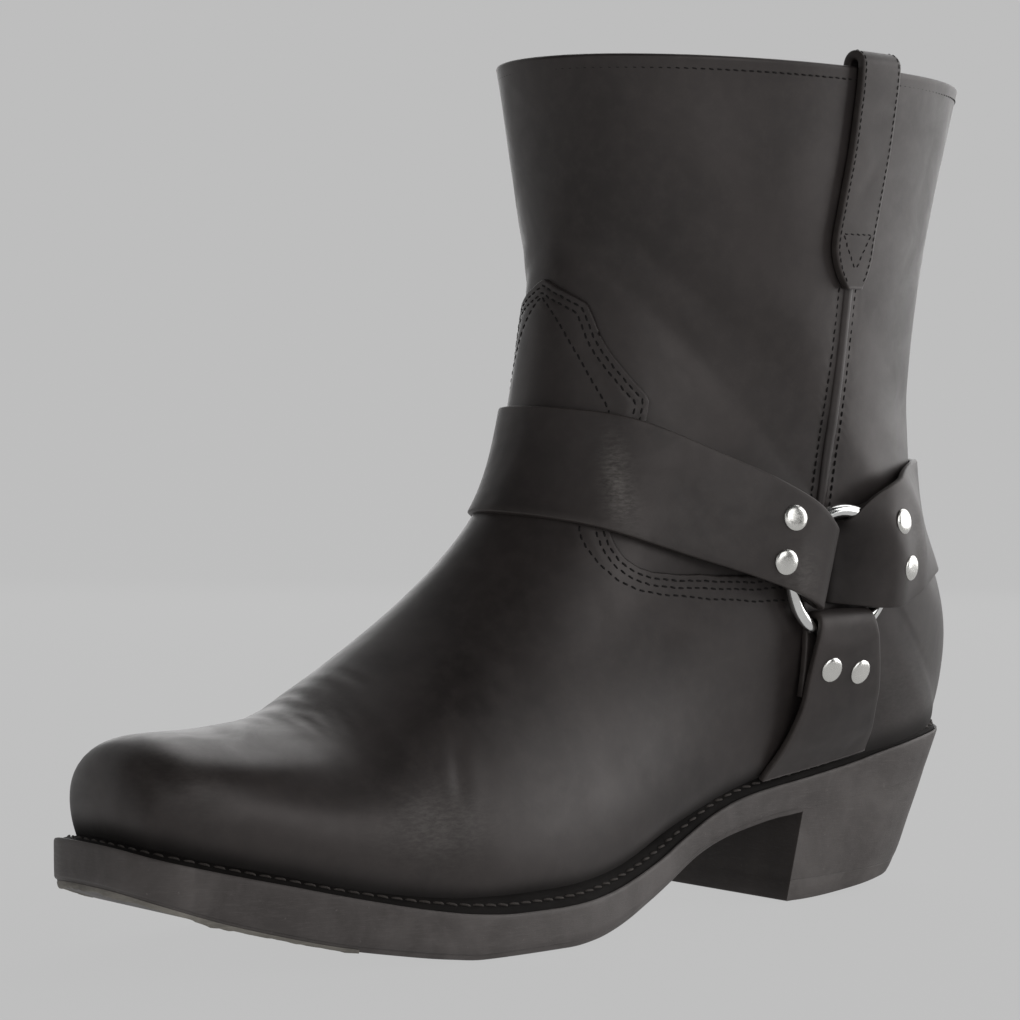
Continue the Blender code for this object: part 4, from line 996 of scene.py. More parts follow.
BLACK, PALE = (0.0165, 0.0135, 0.0130), (0.026, 0.0215, 0.0205)
M_SHAFT = leather("leather_shaft", BLACK, PALE, (0.40, 0.52), scuff_and_sheen=0.5)
M_VAMP = leather("leather_vamp", BLACK, PALE, (0.37, 0.5), scuff_and_sheen=0.5, painted_shade=0.9)
M_STRAP = leather("leather_strap", (0.0165, 0.0135, 0.013), (0.026, 0.0215, 0.0205), (0.42, 0.56), wear=0.22, scuff_and_sheen=0.8, painted_shade=0.8)
M_PULL = leather("leather_pull", (0.0165, 0.0140, 0.0135), PALE, (0.42, 0.55), wear=0.2)
M_LINING = leather("leather_lining", (0.050, 0.041, 0.036), (0.075, 0.062, 0.054), (0.6, 0.75), grain=0.8)
M_INSOLE = leather("leather_insole", (0.20, 0.135, 0.085), (0.27, 0.19, 0.125), (0.6, 0.8), grain=0.8)
M_SOLE = rubber("sole_edge", (0.060, 0.053, 0.051), (0.088, 0.080, 0.077), (0.47, 0.65), streak=(1, 1, 9))
# welt ledge: near-black, partly its own dark dye, partly painted shade of the recess under the upper
M_WELT_DYE_AND_SHADE = rubber("welt_ledge", (0.0055, 0.0048, 0.0045), (0.010, 0.0088, 0.0083), (0.7, 0.85), spec=0.12)
M_TREAD = rubber("tread_lip", (0.13, 0.122, 0.108), (0.24, 0.225, 0.20), (0.7, 0.9))
M_BREAST = rubber("heel_breast", (0.019, 0.0155, 0.0145), (0.028, 0.0235, 0.022), (0.55, 0.75))
M_HEEL = rubber("heel_stack", (0.060, 0.053, 0.051), (0.088, 0.080, 0.077), (0.47, 0.65), streak=(1, 1, 9))
M_LIFT = rubber("heel_rubber", (0.060, 0.053, 0.051), (0.088, 0.080, 0.077), (0.55, 0.75))
M_CHROME = metal("chrome_ring", (0.80, 0.80, 0.79), (0.09, 0.2))
M_NICKEL = metal("nickel_rivet", (0.74, 0.73, 0.70), (0.2, 0.34))
M_THREAD = thread("black_thread", (0.006, 0.0055, 0.0055))
M_WAXED = thread("waxed_thread", (0.040, 0.035, 0.032))

# ------------------------------------------------------------- seams on the skin
VAMP_T = 1.3                        # the vamp lies over the shaft by this much
Spot = namedtuple("Spot", "s f")    # station and share round the section


def spot(u, z):
    s, h = locate(u, z)
    return float(s), float(1 - math.acos(1 - 2 * float(np.clip(h, 0, 1))) / math.pi)


# top edge of the vamp from centre back, along the side, up the tongue to its peak
VAMP_BACK = [Spot(20.6, 1.0)] + [Spot(*spot(u, z)) for u, z in [
    (12.0, 110.5), (30.0, 107.5), (50.0, 104.5), (68.0, 103.0), (85.0, 102.0)]]
VAMP_SIDE = [Spot(*r) for r in [
    (13.33, 0.521), (12.72, 0.493), (12.05, 0.452), (11.64, 0.418), (11.42, 0.391), (11.27, 0.360),
    (11.24, 0.333), (11.28, 0.311), (11.62, 0.300), (12.3, 0.291), (12.9, 0.286), (13.29, 0.280)]]
TONGUE = [Spot(*r) for r in [
    (13.51, 0.275), (13.81, 0.266), (13.84, 0.236), (13.93, 0.203), (14.08, 0.174), (14.27, 0.154),
    (14.63, 0.133), (14.99, 0.113), (15.01, 0.078), (15.12, 0.038), (15.42, 0.0)]]
# third row of stitches: from under the peak, down the tongue and along the side
ROW3 = [Spot(*r) for r in [
    (14.66, 0.0), (14.06, 0.053), (13.51, 0.106), (13.06, 0.163), (12.78, 0.219), (12.2, 0.237), (11.5, 0.240),
    (10.95, 0.243), (10.80, 0.262), (10.77, 0.288), (10.82, 0.328), (10.98, 0.374), (11.24, 0.414),
    (11.63, 0.454), (12.36, 0.509), (13.10, 0.549)]] + [Spot(*spot(u, 94.0)) for u in (86.0, 70.0)]


def dense(line, per=14, ease=3):
    a = np.array(line, float)
    k = np.linspace(0, len(a) - 1, per * (len(a) - 1) + 1)
    p = np.stack([np.interp(k, np.arange(len(a)), a[:, i]) for i in range(2)], 1)
    for _ in range(ease):
        p[1:-1] = 0.25 * p[:-2] + 0.5 * p[1:-1] + 0.25 * p[2:]
    return p


edge_out = dense(VAMP_BACK + VAMP_SIDE + TONGUE)
edge_in = edge_out[::-1] * (1, -1)
edge_all = np.vstack([edge_out, edge_in[1:]])
edge_line = skin(edge_all[:, 0], edge_all[:, 1])

grid = Skin(1.7, 241)
poly = np.vstack([[(-1, -1.01), (-1, 1.01), (edge_all[0, 0], 1.01)], edge_all, [(edge_all[-1, 0], -1.01)]])
is_vamp = inside(poly, grid.s, grid.f)
near_d, near_k = nearest(grid.P, edge_line)
seam_g = np.where(is_vamp, near_d, -near_d)

# --------------------------------------------------- creases, in mm
Crease = namedtuple("Crease", "line side width depth ridge")
CREASES = [
    # one soft fold low on the outer side of the ball, a pair on the inner side
    Crease([(209.0, 58.0), (211.5, 50.0), (214.0, 42.0)], 1, 2.2, 0.36, 0.3),
    Crease([(221.0, 46.0), (224.0, 38.0), (229.0, 32.0)], 1, 4.5, 0.25, 0.6),
    Crease([(210.0, 58.0), (212.0, 50.0), (216.0, 40.0)], -1, 2.6, 0.5, 0.5),
    Crease([(222.0, 54.0), (226.0, 44.0), (229.0, 36.0)], -1, 3.0, 0.4, 0.5),
    # slack of the shaft at the ankle
    Crease([(20.0, 158.0), (34.0, 153.0), (52.0, 156.0)], 1, 7.0, 0.35, 0.5),
    Crease([(20.0, 156.0), (36.0, 152.0), (56.0, 156.0)], -1, 7.0, 0.4, 0.5),
    Crease([(120.0, 172.0), (100.0, 166.0), (84.0, 168.0)], 1, 9.0, 0.25, 0.4),
    Crease([(120.0, 170.0), (100.0, 163.0), (82.0, 166.0)], -1, 9.0, 0.35, 0.4),
]
# fine wrinkles across the break of the vamp: station, share, as lines over the top
Wrinkle = namedtuple("Wrinkle", "line width depth")
WRINKLES = [
    Wrinkle([(6.82, -0.20), (6.75, -0.06), (6.62, 0.05), (6.66, 0.16)], 1.3, 0.34),
    Wrinkle([(6.60, -0.24), (6.52, -0.08), (6.44, 0.04), (6.50, 0.12), (6.38, 0.20)], 1.5, 0.42),
    Wrinkle([(6.42, -0.10), (6.30, 0.02), (6.26, 0.11), (6.14, 0.23)], 1.4, 0.36),
    Wrinkle([(7.06, -0.12), (7.00, 0.02), (6.92, 0.10)], 1.2, 0.26),
    Wrinkle([(6.16, -0.16), (6.08, -0.03), (6.02, 0.08)], 1.6, 0.24),
    Wrinkle([(7.34, -0.05), (7.26, 0.06), (7.22, 0.15)], 1.3, 0.20),
    Wrinkle([(6.72, 0.09), (6.60, 0.17), (6.48, 0.26)], 1.2, 0.24),
]
# the break itself: the vamp swells over it, the stiff toe lies lower and flatter
BREAK = [(150, 0.0), (175, 0.9), (206, 2.1), (215, 1.7), (224, 0.9), (231, -0.5), (238, -1.7), (246, -2.2), (256, -1.7),
         (270, -1.4), (280, -1.2), (289, -0.2), (296, 0.5), (310, 0.6)]


def smooth(x, a, b):
    t = np.clip((np.asarray(x, float) - a) / (b - a), 0, 1)
    return t * t * (3 - 2 * t)


def trough(P, line, width, depth, ridge, ends):
    out = np.zeros(len(P))
    lo, hi = line.min(0) - 5 * width, line.max(0) + 5 * width
    sel = np.flatnonzero(((P > lo) & (P < hi)).all(1))
    if len(sel):
        d, i = nearest(P[sel], line)
        amp = np.sin(np.pi * (i + 2) / (len(line) + 4.0)) ** ends * (d < 4.6 * width)
        out[sel] = depth * amp * (-np.exp(-(d / width) ** 2) + ridge * np.exp(-((d - 2.0 * width) / width) ** 2))
    return out


# the edge of the sole in side view: crest of the lip and under edge, by u
LIP = [(-13, 49.8), (0, 49.2), (10, 48.5), (18.5, 47.6), (29, 46.1), (40, 44.2), (50, 42.2), (62, 40.2), (75, 38.3),
       (87, 36.7), (98, 34.8), (104, 33.4), (110, 31.6), (116, 29.3), (122, 26.6), (128.5, 23.8), (135, 21.0), (145, 17.6),
       (155, 14.9), (165, 13.2), (175, 12.2), (185, 11.8), (200, 11.9), (214, 12.9), (228, 15.1), (241, 17.8), (254, 20.8),
       (266, 23.8), (278, 26.7), (288.5, 29.4), (299, 32.4), (305, 34.9), (312, 37.2)]
UNDER = [(-13, 36.9), (0, 34.8), (20, 32.6), (45, 30.5), (62, 29.0), (76, 27.6), (87, 26.4), (98, 24.7), (105, 23.3),
         (112, 21.4), (118.5, 19.0), (124.5, 16.1), (131, 12.9), (138, 9.9), (145, 7.2), (152.5, 4.4), (160.5, 2.3),
         (168.5, 0.9), (180, 0.0), (212, 0.0), (222, 0.9), (238, 3.2), (254, 6.0), (266, 8.9), (282, 13.4), (289, 15.8),
         (300, 20.0), (305, 22.4), (312, 25.6)]
lip_z = pchip([r[0] for r in LIP], [r[1] for r in LIP])
under_z = pchip([r[0] for r in UNDER], [r[1] for r in UNDER])


def relief(g):
    """Normal offset of creases, break and toe form on the skin grid."""
    out = np.zeros(len(g.P))
    for c in CREASES:
        a = np.array(c.line)
        k = np.linspace(0, len(a) - 1, 60)
        u, z = (natural(a[:, i])(k) for i in (0, 1))
        out += trough(g.P, np.stack([side_x(u, z, c.side), u, z], 1), c.width, c.depth, c.ridge, 0.9)
    for c in WRINKLES:
        a = np.array(c.line)
        k = np.linspace(0, len(a) - 1, 80)
        line = skin(natural(a[:, 0])(k), natural(a[:, 1])(k))
        out += trough(g.P, line, c.width, 0.7 * c.depth, 0.6, 1.2)
    u = g.P[:, 1]
    h = 0.5 - 0.5 * np.cos(np.pi * (1 - np.abs(g.f)))
    b = np.array(BREAK)
    out += pchip(b[:, 0], b[:, 1])(np.clip(u, 150, 310)) * smooth(h, 0.5, 0.93)
    out += 0.9 * np.exp(-((h - 0.80) / 0.11) ** 2) * smooth(u, 236, 264)
    # drawn in over the welt, most at the waist
    high = g.P[:, 2] - seat(u)
    deep = 0.8 + 2.0 * smooth(u, 55, 85) * (1 - smooth(u, 195, 245))
    out -= deep * np.exp(-(np.maximum(high, 0) / 5.0) ** 2)
    out -= 2.6 * smooth(u, 62, 92) * (1 - smooth(u, 122, 165)) * np.exp(-(np.maximum(high, 0) / 8.0) ** 2)
    out -= 1.7 * (1 - smooth(u, 6, 36)) * np.exp(-(np.maximum(high, 0) / 9.0) ** 2)
    return out


soft = relief(grid)
vary = 0.16 * np.sin(grid.P[:, 1] / 17.0 + 0.9 * np.sin(grid.P[:, 2] / 23.0)) * np.sin(grid.P[:, 2] / 19.0 + 1.3)
soft = soft + vary


def groove(g, at, w=0.75, deep=0.22):
    return -deep * np.exp(-((g - at) / w) ** 2)


ROW1, ROW2 = 1.9, 4.0
row3 = dense(ROW3)
row3_line = {side: skin(row3[:, 0], side * row3[:, 1]) for side in (1, -1)}
d3 = np.minimum(nearest(grid.P, row3_line[1])[0], nearest(grid.P, row3_line[-1])[0])
vamp_lift = VAMP_T + soft + groove(seam_g, ROW1) + groove(seam_g, ROW2) - 0.16 * np.exp(-(d3 / 0.8) ** 2)
zero = np.zeros(len(grid.P))

# scuffs and a painted highlight: x-u-z centre, radii; the patch low on the outer side of the ball stands in for a soft
# sheen
def blot(P, at, size):
    return np.exp(-(((P - np.array(at)) / np.array(size)) ** 2).sum(1))


vamp_scuff_and_sheen = (0.6 * blot(grid.P, (47, 223, 38), (14, 16, 10)) + 0.35 * blot(grid.P, (-2, 240, 66), (18, 14, 8))
              + 0.3 * blot(grid.P, (10, 285, 52), (22, 10, 10)) + 0.3 * blot(grid.P, (42, 30, 62), (16, 22, 16)))
# painted shade low on the upper, in the corner over the welt where the welt shades it
low = grid.P[:, 2] - lip_z(grid.P[:, 1])
vamp_painted_shade = (1 - smooth(low, 3.2, 11.5)) ** 1.3
vamp = panel("vamp", grid, seam_g, vamp_lift, M_VAMP, thick=VAMP_T + 0.35,
             attrs={"scuff_and_sheen": vamp_scuff_and_sheen, "painted_shade": vamp_painted_shade})

# side seams of the shaft: a leather cord between two rows of stitches
PIPE = [(69.0, 196.0), (69.6, 186.0), (70.6, 172.0), (72.1, 157.0), (73.7, 142.0), (75.5, 126.5), (77.0, 113.0),
        (78.0, 104.0)]


def side_line(table, side, du=0.0, off=0.0, n=160):
    a = np.array(table)
    k = np.linspace(0, len(a) - 1, n)
    u, z = natural(a[:, 0])(k) + du, natural(a[:, 1])(k)
    x = side_x(u, z, side)
    p = np.stack([x, u, z], 1)
    e = 0.4
    tu = np.stack([side_x(u + e, z, side) - side_x(u - e, z, side), np.full(n, 2 * e), np.zeros(n)], 1)
    tz = np.stack([side_x(u, z + e, side) - side_x(u, z - e, side), np.zeros(n), np.full(n, 2 * e)], 1)
    nn = unit(np.cross(tu, tz)) * 1.0
    nn *= np.sign(nn[:, :1] * side)
    return p + nn * off, nn


pipe_d = np.full(len(grid.P), 99.0)
for side in (1, -1):
    pipe_d = np.minimum(pipe_d, nearest(grid.P, side_line(PIPE, side)[0])[0])
shaft_lift = soft + 0.0
shaft_lift = shaft_lift - 0.18 * np.exp(-((pipe_d - 3.5) / 0.8) ** 2) + 0.3 * np.exp(-(pipe_d / 2.2) ** 2)

# --------------------------------------------------------------- shaft and lining
under = 7.0                          # the shaft runs on under the vamp
quads, tris, extra, border = clip(grid.quads, under - seam_g)
P = np.vstack([grid.P, blend(extra, grid.P)])
N = unit(np.vstack([grid.N, blend(extra, grid.N)]))
L = np.r_[shaft_lift, blend(extra, shaft_lift)] - np.r_[np.clip(seam_g, 0, 1), np.ones(len(extra))] * 0.15
n_row, n_col = grid.shape
top_ids = grid.vid[-1, :-1]
outer = P + N * L[:, None]
rim_p, rim_n = outer[top_ids], N[top_ids]
up = unit(P[grid.vid[-1, :-1]] - P[grid.vid[-2, :-1]])
rows, polys, base, prev = [outer], [quads, tris], len(outer), top_ids
norms = [N]
for o, h in ((-0.18, 0.42), (-0.55, 0.68), (-1.2, 0.74), (-1.85, 0.66), (-2.25, 0.38), (-2.4, -0.1)):
    row = rim_p + rim_n * o + up * h
    new = base + np.arange(len(top_ids))
    base += len(new)
    rows.append(row)
    norms.append(unit(rim_n * (1.2 + o) + up * 0.8))
    i, j = np.arange(len(new)), (np.arange(len(new)) + 1) % len(new)
    polys.append(np.stack([prev[i], prev[j], new[j], new[i]], -1))
    prev = new
n_all = np.vstack(norms)
att = np.r_[np.zeros(len(outer)), np.ones(base - len(outer))]
shaft = make("shaft", np.vstack(rows), polys, M_SHAFT, out=n_all, attrs={"edge": att, "scuff_and_sheen": np.zeros(base)})

coarse = Skin(3.2, 121)
keep = coarse.quads
inner = coarse.sheet(np.full(len(coarse.P), -WALL))
lining = make("lining", inner, [keep], M_LINING, out=-coarse.N)
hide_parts("upper")

# ------------------------------------------------------------------- sewing
rows12 = level(grid, seam_g, ROW1, vamp_lift) + level(grid, seam_g, ROW2, vamp_lift)


def on_skin(line_sf, side, lift):
    """A line given by stations as points and normals at a height over the skin."""
    e = 1e-3
    s, f = line_sf[:, 0], side * line_sf[:, 1]
    p = skin(s, f)
    a = skin(s + e, f) - skin(s - e, f)
    f2, f1 = f + 1e-3, f - 1e-3
    b = skin(s, f2) - skin(s, f1)
    n = unit(np.cross(a, b))
    k = nearest(p, grid.P)[1]
    n *= np.sign((n * grid.N[k]).sum(1))[:, None]
    n = unit(grid.N[k])
    return p + n * (np.asarray(lift)[k] if np.ndim(lift) else lift)[..., None] if np.ndim(lift) else p + n * lift, n


seam_rows = list(rows12)
for side in (1, -1):
    seam_rows.append(on_skin(row3, side, vamp_lift))
sew = [stitches("vamp_stitches", seam_rows, M_THREAD, pitch=2.75, long=2.0, r=0.30, rise=0.05)]
pipes_v, pipes_f, base = [], [], 0
pipe_rows = []
for side in (1, -1):
    p, n = side_line(PIPE, side, 0.0, 0.15)
    v, f = cord_along(p, n, 1.75, 1.15)
    pipes_v.append(v)
    pipes_f += [q + base for q in f]
    base += len(v)
    for du in (-3.6, 3.6):
        pipe_rows.append(side_line(PIPE, side, du, -0.02))
piping = make("side_piping", np.vstack(pipes_v), pipes_f, M_SHAFT, attrs={"edge": np.zeros(base), "scuff_and_sheen": np.zeros(base)})
sew.append(stitches("side_stitches", pipe_rows, M_THREAD, pitch=2.5, long=1.8, r=0.3, rise=0.05))
# row under the rim
f_rim = np.linspace(-1, 1, 721)
ds = 3.2 / np.linalg.norm(skin(S_TOP - 0.0, f_rim) - skin(S_TOP - 1.0, f_rim), axis=-1)
rim_sf = np.stack([S_TOP - ds, f_rim], 1)
sew.append(stitches("collar_stitches", [on_skin(rim_sf, 1, 0.0)], M_THREAD, pitch=2.5, long=1.75, r=0.26, rise=-0.04))

# ------------------------------------------------------------------- sole
def chains_of(n):
    """Featherline in plan as two chains from centre back to the toe, with normals
    and the reach of the sole edge."""
    p, nor, e = outline(1400)
    a, b = int(np.argmin(p[:, 1])), int(np.argmax(p[:, 1]))
    q = np.roll(np.c_[p, nor, e], -a, 0)
    k = (b - a) % len(p)
    one, two = q[:k + 1], np.vstack([q[k:], q[:1]])[::-1]
    out = []
    for c in (one, two):
        d = np.r_[0, np.cumsum(np.hypot(*np.diff(c[:, :2], axis=0).T))]
        v = d[-1] * (0.5 - 0.5 * np.cos(np.pi * np.linspace(0, 1, n))) * 0.35 + 0.65 * np.linspace(0, d[-1], n)
        out.append(np.stack([np.interp(v, d, c[:, i]) for i in range(5)], 1))
    return out


N_CH = 260
chain_a, chain_b = chains_of(N_CH)
loop = np.vstack([chain_a, chain_b[::-1][1:-1]])
lp, ln, le = loop[:, :2], loop[:, 2:4], loop[:, 4:5]
ln = unit(ln)


def ring(reach, z):
    """Loop of points at `reach` outside the featherline, z by the u of each."""
    p = lp + ln * reach
    return np.c_[p, z(p[:, 1])]


def lofted(name, rings, mat, caps=(), out=None, attrs=None, angle=None):
    V = np.vstack(rings)
    m = len(rings[0])
    polys = [grid_quads(len(rings), m, wrap=True)]
    n_extra = []
    base = len(V)
    for which, zfun in caps:
        r = rings[which]
        off = (len(rings) - 1) * m if which == -1 else 0
        a = np.arange(N_CH)
        b = np.r_[0, np.arange(m - 1, N_CH - 2, -1)]
        cols = 14
        t = np.linspace(0, 1, cols)[1:-1]
        A, B = r[a], r[b]
        mid = A[:, None, :] * (1 - t)[None, :, None] + B[:, None, :] * t[None, :, None]
        mid[..., 2] = zfun(mid[..., 1])
        ids = np.empty((N_CH, cols), int)
        ids[:, 0], ids[:, -1] = off + a, off + b
        ids[:, 1:-1] = base + np.arange(N_CH * (cols - 2)).reshape(N_CH, cols - 2)
        base += N_CH * (cols - 2)
        n_extra.append(mid.reshape(-1, 3))
        q = np.stack([ids[:-1, :-1], ids[:-1, 1:], ids[1:, 1:], ids[1:, :-1]], -1).reshape(-1, 4)
        polys.append(q[:, ::-1] if which == -1 else q)
    V = np.vstack([V] + n_extra)
    return make(name, V, polys, mat, out=out, attrs=attrs, angle=angle)


e = le
edge_loop = lp + ln * e
wav = 0.03 * np.sin(lp[:, :1] * 0.9 + lp[:, 1:2] * 0.31) + 0.02 * np.sin(lp[:, 1:2] * 1.13)
step = smooth(lp[:, 1:2], 72, 84)          # the tread step dies out where the heel begins

SEEN_BACK, SEEN_NARROW, BACK_IN, WORN = 15.0, 0.82, 1.5, 4.0      # heel: base, worn back edge


def draw(p, share):
    """Plan points drawn in towards the base of the heel, by share of the drop from the lip."""
    u0 = edge_loop[:, 1].min()
    far = 1 - smooth(p[:, 1], 68, 100)
    back = u0 + BACK_IN + (SEEN_BACK - u0 - BACK_IN) * share
    breast = BREAST_U + (BASE_BREAST - BREAST_U) * share
    u = back + (p[:, 1] - u0) * (breast - back) / (BREAST_U - u0)
    return np.stack([p[:, 0] * (1 - (1 - SEEN_NARROW) * share * far), p[:, 1] + (u - p[:, 1]) * far], 1)


def edge_ring(reach, z):
    p = lp + ln * reach
    zz = z(p[:, 1])
    return np.c_[draw(p, np.clip(1 - zz / lip_z(p[:, 1]), 0, 1)), zz]


crest = lambda o: (lambda u: lip_z(u) + o)
drop = lambda t, o=0.0: (lambda u: lip_z(u) + (under_z(u) - lip_z(u)) * t + o)
sole_rings = [edge_ring(e - 3.4, drop(0.5)), edge_ring(e - 1.6, crest(-1.3)), edge_ring(e - 1.2, crest(-0.5)),
              edge_ring(e - 0.85 + 0.3 * wav, crest(-0.1)), edge_ring(e - 0.5 + 0.4 * wav, crest(0.0)),
              edge_ring(e - 0.17 + 0.5 * wav, crest(-0.22)), edge_ring(e + 0.02 + 0.6 * wav, crest(-0.75)),
              edge_ring(e + 0.05 + 0.6 * wav, crest(-1.6)), edge_ring(e + 0.05 + wav, drop(0.3)),
              edge_ring(e + 0.05 + wav, drop(0.5)), edge_ring(e + 0.03 + wav, drop(0.68)),
              edge_ring(e - 0.03 + wav, drop(1, 2.0)), edge_ring(e - 0.25 * step + wav, drop(1, 1.66)),
              edge_ring(e - 0.75 * step + 0.5 * wav, drop(1, 1.56)), edge_ring(e - 0.85 * step + 0.5 * wav, drop(1, 1.0)),
              edge_ring(e - 1.0 * step + 0.5 * wav, drop(1, 0.4)), edge_ring(e - 0.1 - 1.3 * step, drop(1, 0.0))]
outsole = lofted("outsole_body", sole_rings, M_SOLE, caps=[(-1, under_z), (0, drop(0.5))], angle=48)
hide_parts("outsole")

# thin ragged lip of the worn tread under the toe
rng = np.random.default_rng(7)
some = np.flatnonzero((lp[:, 1] > 246) & (lp[:, 0] > -30))
some = some[np.argsort(np.unwrap(np.arctan2(lp[some, 0] + 3.0, lp[some, 1] - 240.0)))]
ragged = np.convolve(np.abs(rng.normal(0.0, 1.0, len(some) + 4)), np.ones(5) / 5, "valid")
ragged = np.clip(0.25 + 0.85 * ragged ** 1.5, 0.1, 1.5) * np.sin(np.pi * np.linspace(0.02, 0.98, len(some))) ** 0.4
lip_rows = []
for inset, h, k in ((0.75, 0.7, 0.0), (0.8, 0.2, 0.0), (0.95, 0.0, 0.55), (1.2, 0.0, 1.0), (2.0, 0.0, 0.9), (2.6, 0.5, 0.0)):
    r = edge_ring(e - inset, drop(1, h))[some]
    r[:, 2] -= k * ragged
    lip_rows.append(r)
lip_rows = np.array(lip_rows)
tread_lip = make("tread_lip", lip_rows.reshape(-1, 3), [grid_quads(*lip_rows.shape[:2])], M_TREAD,
                 out=np.tile((0.6, 0.2, -0.8), (lip_rows.shape[0] * lip_rows.shape[1], 1)))

# welt: a ledge that climbs from the lip to the upper, its stitches half way
rise_k = lambda u: 1.25 - 0.5 * smooth(u, 205, 262) - 0.35 * (1 - smooth(u, 15, 60))
climb = lambda k: (lambda u: lip_z(u) + k * (rise_k(u) if k > 0 else 1.0))
room = e - 1.1
welt_rings = [edge_ring(-0.8 + 0 * e, drop(0.45)), edge_ring(-0.7 + 0 * e, climb(4.0))]
for r, k in ((0.0, 3.9), (0.2, 3.5), (0.35, 3.0), (0.47, 2.52), (0.53, 2.2), (0.60, 1.84), (0.67, 1.66), (0.73, 1.5),
             (0.82, 1.0), (0.92, 0.3), (1.0, -0.3)):
    welt_rings.append(edge_ring(r * room, climb(k)))
welt_rings.append(edge_ring(e - 1.5, drop(0.3)))
welt = lofted("welt_strip", welt_rings + welt_rings[:1], M_WELT_DYE_AND_SHADE)
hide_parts("welt")
row = edge_ring(0.63 * room, climb(1.86))
row = np.vstack([row, row[:1]])
out_dir = np.c_[np.vstack([ln, ln[:1]]), np.zeros(len(row))]
lean = 4.0 * rise_k(row[:, 1:2]) / np.vstack([room, room[:1]])
welt_sew = stitches("welt_stitches", [(row, unit(np.array([[0.0, 0.0, 1.0]]) + lean * out_dir))], M_WAXED, pitch=4.2,
                    long=3.5, r=0.4, rise=0.10, slant=0.2)

# heel: stacked block, rubber lift and dark breast, through plan loops
foot_loop = heel_loop(edge_loop, 0.0)


def heel_ring(z, grow):
    """Plan loop of the heel at the heights z of its points."""
    u = foot_loop[:, 1]
    h = draw(foot_loop, np.clip(1 - z / lip_z(u), 0, 1))
    d = h - h.mean(0)
    h = h + d * (grow / np.maximum(np.hypot(*d.T), 1e-6))[:, None]
    low = np.clip(1 - z / 14.0, 0, 1) ** 1.6
    return np.c_[h, z + WORN * low * (1 - smooth(h[:, 1], SEEN_BACK, SEEN_BACK + 55))]


def cap_rings(name, rings, mat, angle=35):
    V = np.vstack(rings)
    r, n = len(rings), len(rings[0])
    quads = grid_quads(r, n, wrap=True)
    polys = [quads]
    for i in (0, r - 1):
        half = (n - 1) // 2
        a = i * n + np.arange(half)
        b = i * n + n - 1 - np.arange(half)
        q = np.stack([a[:-1], a[1:], b[1:], b[:-1]], -1)
        rest = [int(a[-1])] + list(range(int(a[-1]) + 1, int(b[-1]) + 1))
        polys += [q if i == 0 else q[:, ::-1], np.array([rest if i == 0 else rest[::-1]])]
    return make(name, V, polys, mat, angle=angle)


z_top = under_z(foot_loop[:, 1]) + 0.6
block = []
for k in np.linspace(0, 1, 12):
    block.append(heel_ring(z_top * (1 - k) + (LIFT_T + 0.05) * k, 0.03 + 0.04 * math.sin(9.0 * k) - 0.1 * (k == 1)))
heel_block = cap_rings("heel_stack", block, M_HEEL)
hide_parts("heel_block")
lift = [heel_ring(np.full(len(foot_loop), z), grow) for z, grow in (
    (LIFT_T, -0.12), (LIFT_T - 0.2, 0.02), (LIFT_T * 0.5, 0.10), (0.9, 0.0), (0.3, -0.25), (0.0, -0.9))]
heel_lift = cap_rings("heel_top_lift", lift, M_LIFT)
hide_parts("heel_lift")
gap = np.abs(np.diff(foot_loop[:, 0]))
ca = int(np.argmax(gap))                                  # the breast lies between the two corners
across = 0.5 - 0.4985 * np.cos(np.pi * np.linspace(0, 1, 24))
face = []
for r in block + lift[1:-1]:
    a, b = r[ca], r[ca + 1]
    q = a + (b - a) * across[:, None]
    q[:, 1] += 0.22 - 0.36 * np.abs(2 * across - 1) ** 90
    face.append(q)
face = np.array(face)
breast = make("heel_breast", face.reshape(-1, 3), [grid_quads(*face.shape[:2])], M_BREAST,
              out=np.tile((0.0, 1.0, 0.0), (face.shape[0] * face.shape[1], 1)))

# ------------------------------------------------------------------ harness
def fine_half(table, kind, side, w, n_run, rest):
    """One strap row at full detail: tail, fold round the ring, run."""
    return strap_half(table, kind, side, w, n_run, rest, 15, 14)


def tuck(mid, n=14):
    """Draw in the edges of a turned-under end, so that it stays behind the strap."""
    k = np.linspace(1, 0, n)
    k = (k * k * (3 - 2 * k))[None, :, None] * 0.12
    for part in (slice(0, n), slice(-1, -n - 1, -1)):
        end = mid[:, part]
        c = end.mean(0, keepdims=True)
        mid[:, part] = end + (c - end) * k
    return mid


def ease(mid, rounds, lo=0, hi=None):
    """Relax a strap's mid-surface along its length."""
    hi = mid.shape[1] if hi is None else hi
    for _ in range(rounds):
        m = mid.copy()
        m[:, 1:-1] = 0.25 * mid[:, :-2] + 0.5 * mid[:, 1:-1] + 0.25 * mid[:, 2:]
        mid[:, max(lo, 1):hi - 1] = m[:, max(lo, 1):hi - 1]
    return mid


def shorten(mid, side):
    """End a sole strap on the ledge of the welt, drawn in against the upper."""
    n = mid.shape[1]
    for r in mid:
        over = r[:, 2] - lip_z(r[:, 1]) - 3.4
        k = n - 1
        while k > n // 2 and over[k - 1] < 0:
            k -= 1
        end = k - 1 + over[k - 1] / (over[k - 1] - over[k]) if over[k] < 0 else n - 1.0
        t = np.linspace(0, end, n)
        r[:] = np.stack([np.interp(t, np.arange(n), r[:, i]) for i in range(3)], 1)
        r[:, 0] -= side * 1.6 * smooth(-r[:, 2] + lip_z(r[:, 1]), -13.0, -3.0)
    return mid


ACROSS = 15
